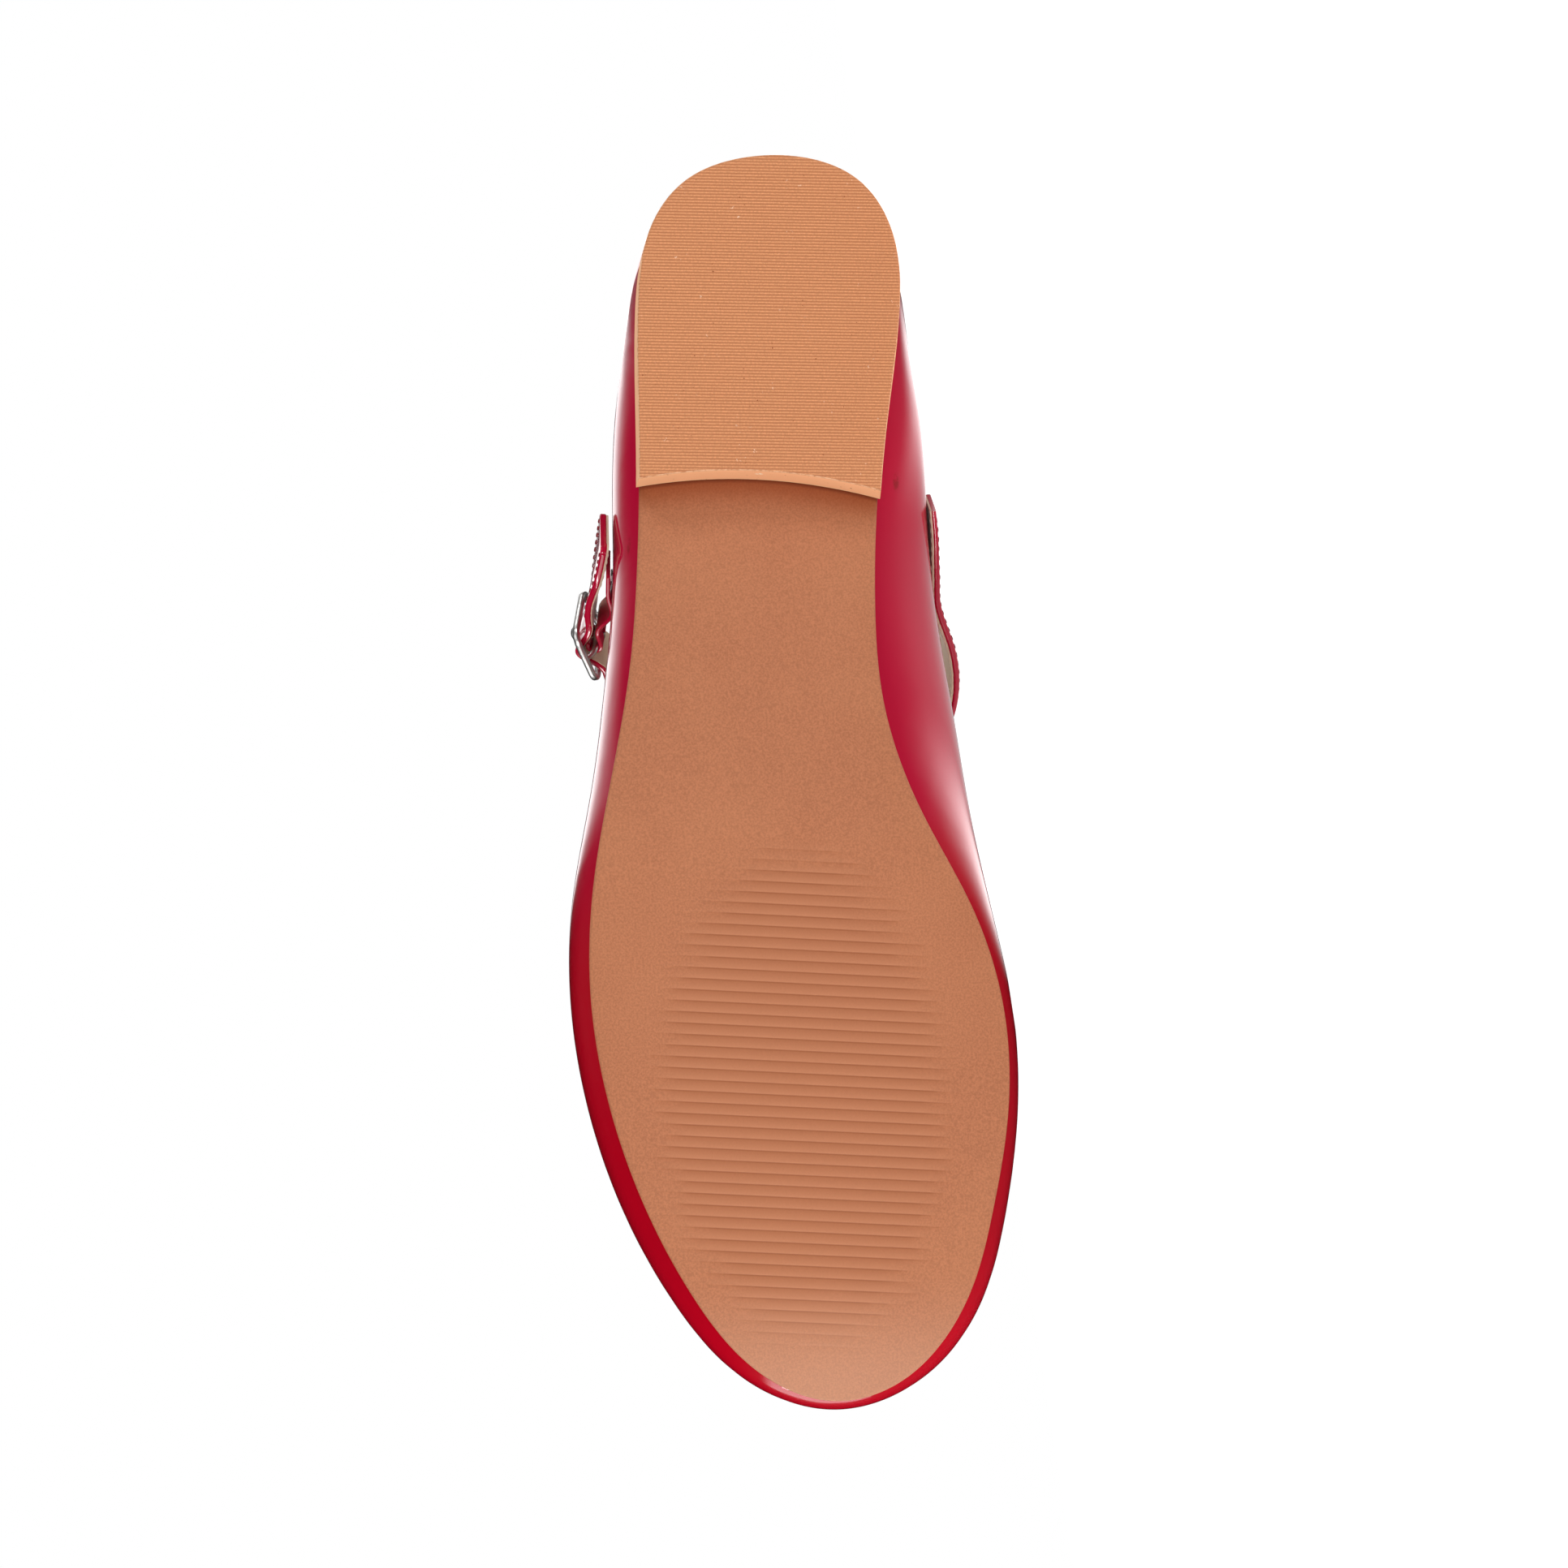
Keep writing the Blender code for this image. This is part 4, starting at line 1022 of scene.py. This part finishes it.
def make_strap(rows, normals, looks):
    """The patent strap with its suede lining, its holes and its stitches."""
    path = strap_path(rows, normals)
    place = np.arange(len(path))
    grown = STRAP_SKIVE + (1.0 - STRAP_SKIVE) * smooth_step(np.linspace(0.0, 8.0, len(path)))
    half = tip_halves(path)
    deep = STRAP_THICKNESS / 2 * grown
    patent_rings = band_rings(path, half, -0.75 * deep, deep, STRAP_CORNER)
    patent = tube_piece("strap_patent", patent_rings, looks["strap"], 55.0)
    ragged = 0.12 * np.sin(place * 1.9) + 0.08 * np.sin(place * 0.77)
    hang = -deep * 0.7 - np.clip(path[:, 6], 0.1, 0.5) * grown
    lining_rings = band_rings(path, half - LINING_INSET + 0.4 * ragged, hang, -0.55 * deep, LINING_CORNER)
    lining = tube_piece("strap_lining", lining_rings, looks["suede"])
    points, _, out, _ = frames_along(path)
    holes = spare_holes(path)
    punch((patent, lining), (round_punches(points[holes], out[holes[1]]), prong_way()))
    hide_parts("strap")
    strap_stitches(path, half, deep, hang, looks)


def make_tab(rows, normals, look):
    """The folded tab that holds the buckle's centre bar."""
    deep = TAB_THICKNESS / 2
    rings = band_rings(tab_path(rows, normals), TAB_WIDTH / 2, -deep, deep, TAB_CORNER)
    tab = tube_piece("buckle_tab_patent", rings, look, 55.0)
    punch((tab,), (prong_way(),))
    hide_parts("buckle_tab")


def wire_rings(points, wire, corners=14, power=1.0, flat=1.0):
    """Rings of a wire along an open path. A power under 1 squares its section; flat squeezes it outwards."""
    _, out, _ = buckle_axes()
    along = unit(np.gradient(points, axis=0))
    side = unit(np.cross(along, out))
    other = np.cross(side, along)
    angles = -np.arange(corners) * 2 * math.pi / corners
    wide, high = (np.sign(each) * np.abs(each) ** power for each in (np.cos(angles), np.sin(angles)))
    section = wide[:, None] * side[:, None] + flat * high[:, None] * other[:, None]
    return points[:, None] + wire / 2 * section


def make_frame(look):
    """The buckle's frame with rounded corners, and its centre bar, which drops below it."""
    angles = np.radians(90 * np.arange(FRAME_CORNER_STEPS) / (FRAME_CORNER_STEPS - 1))
    loop = []
    for quarter, (down, side) in enumerate(((1, 1), (-1, 1), (-1, -1), (1, -1))):
        for angle in angles + quarter * math.pi / 2:
            loop.append(buckle_point(
                down * (FRAME_HALF_DOWN - FRAME_CORNER) + FRAME_CORNER * math.cos(angle),
                0.0,
                side * (FRAME_HALF_SIDE - FRAME_CORNER) + FRAME_CORNER * math.sin(angle),
            ))
    frame_rings = wire_rings(np.array(loop[-1:] + loop + loop[:1]), FRAME_WIRE, 20, 0.62, 0.9)[1:-1]
    bar_half = [(FRAME_HALF_SIDE, 0.0), (FRAME_HALF_SIDE - 0.9, 0.5), (FRAME_HALF_SIDE - 2.0, 1.0)]
    bar = [(-side, drop) for side, drop in bar_half] + [(0.0, 1.0)] + bar_half[::-1]
    bar_rows = [buckle_point(0.0, -CENTRE_BAR_DROP * drop, side) for side, drop in bar]
    bar_rings = wire_rings(open_spline(bar_rows, 40), CENTRE_BAR_WIRE)
    count, around = frame_rings.shape[:2]
    piece = add_piece(
        "buckle_frame_polished",
        np.concatenate([frame_rings.reshape(-1, 3), bar_rings.reshape(-1, 3)]),
        [turned(ring_quads(count, around, closed=True)), *tube_faces(*bar_rings.shape[:2], count * around)],
        [look],
    )
    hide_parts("buckle_frame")


def make_prong(look):
    """The prong, bent round the centre bar and over the strap to the frame."""
    round_bar = (CENTRE_BAR_WIRE + PRONG_WIRE) / 2 + MEETING_GAP
    clear_of_strap = LOOP_HEIGHT + STRAP_THICKNESS + MEETING_GAP + PRONG_WIRE / 2
    on_frame = (FRAME_WIRE + PRONG_WIRE) / 2 + MEETING_GAP
    prong_rows = (
        (0.0, -CENTRE_BAR_DROP - round_bar),
        (-0.71 * round_bar, -CENTRE_BAR_DROP - 0.71 * round_bar),
        (-round_bar, -CENTRE_BAR_DROP),
        (-round_bar, 0.4),
        (-0.7 * round_bar, clear_of_strap - 0.8),
        (0.4, clear_of_strap),
        (2.2, clear_of_strap - 0.4),
        (FRAME_HALF_DOWN - 2.2, 0.85 * on_frame),
        (FRAME_HALF_DOWN - 0.7 * on_frame, 0.72 * on_frame),
    )
    points = open_spline([buckle_point(*row) for row in prong_rows], PRONG_STEPS)
    tip = np.sqrt(np.clip((PRONG_STEPS - np.arange(PRONG_STEPS + 1)) / 4.0, 0.02, 1.0))
    rings = points[:, None] + (wire_rings(points, PRONG_WIRE) - points[:, None]) * tip[:, None, None]
    prong = tube_piece("buckle_prong_polished", rings, look)
    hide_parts("buckle_prong")


# Materials


class Look:
    """A Principled material, with patterns laid out in the shoe's own millimetres or a board's metres."""

    def __init__(self, name, roughness, board=False, **settings):
        self.material = bpy.data.materials.new(name)
        self.material.use_nodes = True
        self.tree = self.material.node_tree
        self.shader = self.tree.nodes["Principled BSDF"]
        self.set("Roughness", roughness)
        for socket, value in settings.items():
            self.set(socket.replace("_", " "), value)
        if board:
            self.spot = self.add("TexCoord", {}).outputs["Object"]
        else:
            self.spot = self.add("Attribute", {}, attribute_name="shoe").outputs["Vector"]
        self.x, self.y, self.z = self.add("SeparateXYZ", {0: self.spot}).outputs

    def put(self, value, socket):
        if isinstance(value, bpy.types.NodeSocket):
            self.tree.links.new(value, socket)
        else:
            socket.default_value = value

    def set(self, socket, value):
        self.put(value, self.shader.inputs[socket])

    def add(self, kind, values, **settings):
        """A new node of a kind, with the values of its inputs and its settings."""
        node = self.tree.nodes.new("ShaderNode" + kind)
        for setting, value in settings.items():
            setattr(node, setting, value)
        for socket, value in values.items():
            self.put(value, node.inputs[socket])
        return node

    def math(self, operation, *values, clamp=False):
        return self.add("Math", dict(enumerate(values)), operation=operation, use_clamp=clamp).outputs[0]

    def vector(self, operation, *values):
        return self.add("VectorMath", dict(enumerate(values)), operation=operation).outputs

    def noise(self, size, detail=2.0, roughness=0.5, stretch=None, distortion=0.0):
        """Noise from 0 to 1 whose features are about size millimetres."""
        spot = self.vector("MULTIPLY", self.spot, stretch)[0] if stretch else self.spot
        values = {"Vector": spot, "Scale": 1.0 / size, "Detail": detail, "Roughness": roughness}
        return self.add("TexNoise", values | {"Distortion": distortion}).outputs["Fac"]

    def between(self, value, low, high, start=0.0, end=1.0, kind="SMOOTHSTEP"):
        """Maps low…high of a value to start…end."""
        values = {"Value": value, "From Min": low, "From Max": high, "To Min": start, "To Max": end}
        return self.add("MapRange", values, interpolation_type=kind).outputs["Result"]

    def mix(self, share, first, second):
        first, second = ((*each, 1.0) if isinstance(each, tuple) else each for each in (first, second))
        return self.add("Mix", {0: share, 6: first, 7: second}, data_type="RGBA").outputs[2]

    def tint(self, colour, new, share, *more):
        """The colour with a new one laid over it, by the product of all shares."""
        for each in more:
            share = self.math("MULTIPLY", share, each)
        return self.mix(share, colour, new)

    def near(self, centre, reach):
        """1 at a place of the shoe, falling to 0 at reach from it."""
        offset = self.vector("DIVIDE", self.vector("SUBTRACT", self.spot, centre)[0], reach)[0]
        return self.between(self.vector("LENGTH", offset)["Value"], 1.0, 0.4)

    def bumps(self, *heights):
        """Lays bumps over one another. Each is a height and its depth in mm."""
        last = None
        for height, depth in heights:
            values = {"Height": height, "Distance": depth * MM}
            if last is not None:
                values["Normal"] = last
            last = self.add("Bump", values).outputs["Normal"]
        self.set("Normal", last)
        return last


def patent_look(name, scuffed=False):
    """Varnished red leather: a smooth clear coat over a deep colour, with a faint orange peel."""
    look = Look(name, 0.32, Coat_Weight=1.0, Coat_Roughness=0.03, Coat_IOR=1.5, Specular_IOR_Level=0.1)
    shift = look.math("MULTIPLY_ADD", look.between(look.noise(34.0, detail=3.0), 0.35, 0.65), 14.0, look.x)
    colour = look.mix(look.between(shift, 122.0, 168.0), (0.42, 0.0006, 0.028), (0.39, 0.0006, 0.010))
    # Painted light: a brighter red at the toe, where the light falls more strongly.
    colour = look.tint(colour, (0.46, 0.0005, 0.011), look.between(look.x, 215.0, 243.0))
    if scuffed:
        speckle = look.between(look.noise(1.1, detail=4.0, roughness=0.7), 0.36, 0.55)
        marks = [look.near(*mark) for mark in SCUFFS]
        colour = look.tint(colour, (0.24, 0.0006, 0.006), look.math("ADD", *marks, clamp=True), speckle, 0.8)
    look.set("Base Color", colour)
    normal = look.bumps((look.noise(9.0, detail=1.0), 0.09), (look.noise(2.4, detail=2.0), 0.008))
    look.set("Coat Normal", normal)
    return look.material


def resin_base(look, warm, cool, mottle_size=0.9):
    """The sole's flecked brown."""
    mottle = look.noise(mottle_size, detail=5.0, roughness=0.72)
    grain = look.noise(0.4, detail=2.0, roughness=0.6)
    cloud = look.noise(26.0, detail=3.0)
    light, dark = (tuple(scale * part for part in warm) for scale in (1.28, 0.72))
    colour = look.mix(look.between(mottle, 0.3, 0.7), warm, cool)
    colour = look.mix(0.5, colour, look.mix(look.between(grain, 0.3, 0.7), dark, light))
    return look.tint(colour, (0.66, 0.30, 0.14), look.between(cloud, 0.35, 0.75), 0.10)


def before_breast(look):
    """How far a point lies towards the toe from the heel's hollow front."""
    across = look.math("DIVIDE", look.math("SUBTRACT", look.y, BREAST_MIDDLE_Y), BREAST_HALF_WIDTH)
    bow = look.math("MULTIPLY", look.math("MULTIPLY", across, across), BREAST_BOW)
    breast = look.math("ADD", look.math("MULTIPLY_ADD", across, BREAST_TILT, BREAST_MIDDLE_X), bow)
    return look.math("SUBTRACT", look.x, breast)


def rib_patch_nodes(look):
    """Where the ribs' painted shade lies on the forefoot, as an oval with a frayed edge."""
    squares = []
    for place, (centre, half_width) in ((look.x, RIB_OVAL_ALONG), (look.y, RIB_OVAL_ACROSS)):
        away = look.math("DIVIDE", look.math("SUBTRACT", place, centre), half_width)
        squares.append(look.math("MULTIPLY", away, away))
    frayed = look.noise(5.0, detail=3.0, roughness=0.7, stretch=(1.0, 0.4, 1.0))
    frayed = look.between(frayed, 0.3, 0.7, kind="LINEAR")
    return look.between(look.math("MULTIPLY_ADD", frayed, 0.3, look.math("ADD", *squares)), 1.18, 0.72)


def sole_look():
    """Moulded resin: plain at the waist, ribbed at the forefoot, with painted shade across the ribs and in
    their grooves, a painted shadow below the heel and a painted highlight at the toe.
    """
    look = Look("outsole_resin", 0.6, Specular_IOR_Level=0.25)
    colour = resin_base(look, (0.415, 0.151, 0.070), (0.380, 0.136, 0.060))
    slant = look.math("MULTIPLY_ADD", look.y, RIB_SLANT, look.x)
    place = look.math("FRACT", look.math("DIVIDE", slant, RIB_PITCH))
    patch = rib_patch_nodes(look)
    # Painted shade across each rib: darker just toe-side of each groove and lighter towards the next, as the
    # ribs' relief would be shaded by light from the toe side.
    climb = look.between(place, 0.0, 0.9, kind="LINEAR")
    colour = look.tint(colour, look.mix(climb, (0.355, 0.118, 0.049), (0.465, 0.182, 0.088)), patch, 0.85)
    # Painted shade in the grooves: a thin dark line between the ribs.
    line = look.math("MAXIMUM", look.between(place, 0.90, 0.97), look.between(place, 0.0, 0.10, 1.0, 0.0))
    colour = look.tint(colour, (0.27, 0.078, 0.028), line, patch, 0.75)
    # A painted highlight at the toe: paler where the toe spring turns up towards the light.
    colour = look.tint(colour, (0.66, 0.38, 0.26), look.between(look.x, 222.0, 247.0), 0.30)
    # A painted shadow on the sole just in front of the heel's hollow front: a dark orange band fading over
    # some 6 mm, with a darker line right at the heel.
    away = before_breast(look)
    in_front = look.between(away, -0.6, -0.2)
    colour = look.tint(colour, (0.25, 0.050, 0.010), look.between(away, 0.2, 6.5, 0.72, 0.0), in_front)
    colour = look.tint(colour, (0.16, 0.026, 0.005), look.between(away, 0.1, 0.9, 0.7, 0.0), in_front)
    look.set("Base Color", colour)
    look.bumps((look.noise(1.6, detail=3.0), 0.03), (look.noise(0.42, detail=4.0, roughness=0.7), 0.022))
    return look.material


def heel_look():
    """The heel's resin, ridged on the tread, with painted shade along its ridges, painted light that makes
    its sides and front paler, and a painted highlight along the tread's edge.
    """
    look = Look("heel_resin", 0.75, Specular_IOR_Level=0.1)
    colour = resin_base(look, (0.600, 0.266, 0.126), (0.570, 0.250, 0.116), mottle_size=0.7)
    slant = look.math("MULTIPLY_ADD", look.y, HEEL_RIB_SLANT, look.x)
    wave = look.math("SINE", look.math("MULTIPLY", slant, 2 * math.pi / HEEL_RIB_PITCH))
    tread = look.between(look.z, 0.5, 0.15)
    # Painted shade along the tread's ridges: every other band darker.
    colour = look.tint(colour, (0.40, 0.145, 0.062), look.between(wave, -0.5, 0.6), tread, 0.75)
    # Painted light: the sides and the hollow front are paler, as the front faces the light.
    colour = look.tint(colour, (0.90, 0.475, 0.250), look.between(look.z, 0.35, 0.9))
    ragged = look.noise(0.9, detail=4.0, roughness=0.7)
    # A painted highlight, ragged, along the rounded edge of the tread.
    lip = look.math("MULTIPLY", look.between(look.z, 0.75, 0.3), look.between(look.z, 0.08, 0.25))
    colour = look.tint(colour, (0.86, 0.52, 0.32), lip, look.between(ragged, 0.35, 0.6))
    colour = look.tint(colour, (0.92, 0.84, 0.66), look.near(*GLUE_MARK), look.between(ragged, 0.4, 0.5))
    pits = look.between(look.noise(0.5, detail=0.0), 0.76, 0.82)
    colour = look.tint(colour, (0.24, 0.07, 0.03), pits, look.between(look.noise(5.0), 0.57, 0.64))
    specks = look.between(look.noise(0.6, detail=0.0, distortion=1.0), 0.77, 0.81)
    colour = look.tint(colour, (0.86, 0.66, 0.50), specks, look.between(look.noise(6.0), 0.57, 0.66), 0.6)
    look.set("Base Color", colour)
    look.bumps((look.noise(1.2, detail=3.0), 0.02), (look.noise(0.3, detail=4.0, roughness=0.7), 0.012))
    return look.material


def suede_look(name, light, dark, roughness=0.85, nap=0.5):
    """Napped beige leather for linings."""
    look = Look(name, roughness, Sheen_Weight=0.25, Sheen_Roughness=0.5)
    fibre = look.noise(nap, detail=5.0, roughness=0.75)
    colour = look.mix(look.between(look.noise(12.0, detail=3.0), 0.35, 0.65), light, dark)
    colour = look.tint(colour, tuple(0.6 * part for part in dark), look.between(fibre, 0.45, 0.7), 0.4)
    look.set("Base Color", colour)
    look.bumps((fibre, 0.08), (look.noise(3.0, detail=2.0), 0.05))
    return look.material


def thread_look(name, light, dark):
    """Twisted thread."""
    look = Look(name, 0.6, Specular_IOR_Level=0.25)
    twist = look.noise(0.28, detail=2.0, stretch=(1.0, 1.6, 1.0))
    look.set("Base Color", look.mix(look.between(twist, 0.35, 0.65), light, dark))
    look.bumps((twist, 0.03))
    return look.material


def metal_look():
    """Nickel with a soft polish."""
    look = Look("polished_nickel", 0.3, Metallic=1.0)
    brushed = look.noise(0.5, detail=4.0, roughness=0.65)
    look.set("Base Color", look.mix(look.between(brushed, 0.4, 0.7), (0.70, 0.69, 0.67), (0.60, 0.59, 0.57)))
    look.set("Roughness", look.between(brushed, 0.3, 0.8, 0.30, 0.46))
    look.bumps((look.noise(1.4, detail=2.0), 0.012))
    return look.material


# The studio


def glow(look, terms):
    """The strength of a board's glow, from the terms described beside GLOWS."""
    axes = (look.x, look.y, look.z)
    whole = 0.0
    for peak, *ramps in terms:
        for axis, dark, bright, *slant in ramps:
            place = axes[axis]
            if slant:
                place = look.math("MULTIPLY_ADD", axes[1 - axis], slant[0], place)
            peak = look.math("MULTIPLY", look.between(place, dark, bright), peak)
        whole = look.math("ADD", whole, peak)
    return whole


def board(name, centre, one, two, grey, strength=None):
    """A flat stage board between half widths one and two around its centre, in metres, with its glow."""
    centre, one, two = np.array((centre, one, two), float)
    mesh = bpy.data.meshes.new(name)
    corners = [centre - one - two, centre + one - two, centre + one + two, centre - one + two]
    mesh.from_pydata(corners, [], [(0, 1, 2, 3)])
    look = Look(name, 0.9, board=True, Base_Color=(grey, grey, grey, 1.0), Specular_IOR_Level=0.0)
    look.set("Emission Color", (1.0, 1.0, 1.0, 1.0))
    if strength is None and name in GLOWS:
        strength = glow(look, GLOWS[name])
    if strength is not None:
        look.set("Emission Strength", strength)
    mesh.materials.append(look.material)
    made = added(name, mesh)
    return made


def make_tent():
    """Boards round the shoe, and one under it that only reflections meet."""
    side, back = TENT_SIDE, TENT_BACK
    middle_y, half_y = (back - side) / 2, (back + side) / 2
    wide, deep, tall = (side, 0.0, 0.0), (0.0, half_y, 0.0), (0.0, 0.0, side / 2 + 0.1)
    for name, centre, one, two in (
        ("tent_front", (0.0, -side, side / 2), wide, tall),
        ("tent_toe_side", (-side, middle_y, side / 2), deep, tall),
        ("tent_heel_side", (side, middle_y, side / 2), deep, tall),
        ("tent_above", (0.0, middle_y, side), wide, deep),
        ("tent_end", (0.0, back, side / 2), wide, tall),
        ("tent_below", (0.0, middle_y, -0.06), wide, deep),
        ("bounce", (0.03, 0.015, -0.004), (0.11, 0.0, 0.0), (0.0, 0.045, 0.0)),
    ):
        made = board(name, centre, one, two, TENT_COLOUR)
        made.visible_camera = False
        made.visible_diffuse = name != "bounce"


def softbox(name, place, width, height, power, mirrored):
    light = bpy.data.lights.new(name, "AREA")
    light.shape = "RECTANGLE"
    light.size = width
    light.size_y = height
    light.energy = power
    made = added(name, light)
    made.rotation_euler = (Vector(place) - Vector(SOFTBOX_AIM)).to_track_quat("Z", "Y").to_euler()
    made.location = place
    made.visible_glossy = mirrored


def light_studio():
    scene = bpy.context.scene
    scene.view_settings.view_transform = "Standard"
    scene.world = bpy.data.worlds.new("studio")
    scene.world.use_nodes = True
    background = scene.world.node_tree.nodes["Background"]
    background.inputs["Color"].default_value = (1.0, 1.0, 1.0, 1.0)
    background.inputs["Strength"].default_value = 1.0
    sides = (FLOOR_SIDE, 0.0, 0.0), (0.0, FLOOR_SIDE, 0.0)
    floor = board("floor", (0.0, 0.0, 0.0), *sides, FLOOR_COLOUR, FLOOR_GLOW)
    floor.visible_glossy = False
    make_tent()
    for name, settings in SOFTBOXES.items():
        softbox(name, *settings)


def make_camera():
    """Looks at the sole from a little towards the toe, with the shoe's length upright in the picture."""
    aim = TURN @ np.array(CAMERA_AIM) + PLACE
    tilts = np.radians([CAMERA_TILT_TO_TOE, CAMERA_TILT_TO_LATERAL])
    to_toe, to_lateral = np.tan(tilts)
    away = TURN @ unit(np.array([to_toe, to_lateral, -1.0]))
    roll = math.radians(CAMERA_ROLL)
    right = unit(np.cross(-away, TURN @ np.array([-math.cos(roll), math.sin(roll), 0.0])))
    up = np.cross(right, -away)
    data = bpy.data.cameras.new("camera")
    data.lens = CAMERA_LENS
    data.sensor_width = CAMERA_SENSOR
    data.clip_start = 0.01
    made = added("camera", data)
    turn = Matrix([list(right), list(up), list(away)]).transposed().to_4x4()
    turn.translation = Vector((aim + away * CAMERA_DISTANCE) * MM)
    made.matrix_world = turn
    bpy.context.scene.camera = made


def main():
    looks = {
        "strap": patent_look("strap_patent_red"),
        "suede": suede_look("strap_lining_suede", (0.66, 0.52, 0.38), (0.56, 0.42, 0.29)),
        "thread": thread_look("dark_red_thread", (0.24, 0.003, 0.012), (0.12, 0.002, 0.006)),
        "cream_thread": thread_look("cream_thread", (0.78, 0.70, 0.58), (0.60, 0.52, 0.42)),
    }
    patent = patent_look("upper_patent_red", scuffed=True)
    lining = suede_look("upper_lining", (0.70, 0.58, 0.45), (0.62, 0.50, 0.37), roughness=0.7, nap=0.8)
    insole = suede_look("insole_leather", (0.68, 0.55, 0.40), (0.60, 0.47, 0.33), roughness=0.6, nap=1.2)
    metal = metal_look()
    rows, normals, down = make_upper([patent, lining])
    topline_stitches(rows, normals, down, looks["thread"])
    make_outsole(sole_look())
    make_heel(heel_look())
    make_insole(insole)
    make_strap(rows, normals, looks)
    make_tab(rows, normals, patent_look("tab_patent_red"))
    make_frame(metal)
    make_prong(metal)
    light_studio()
    make_camera()


main()
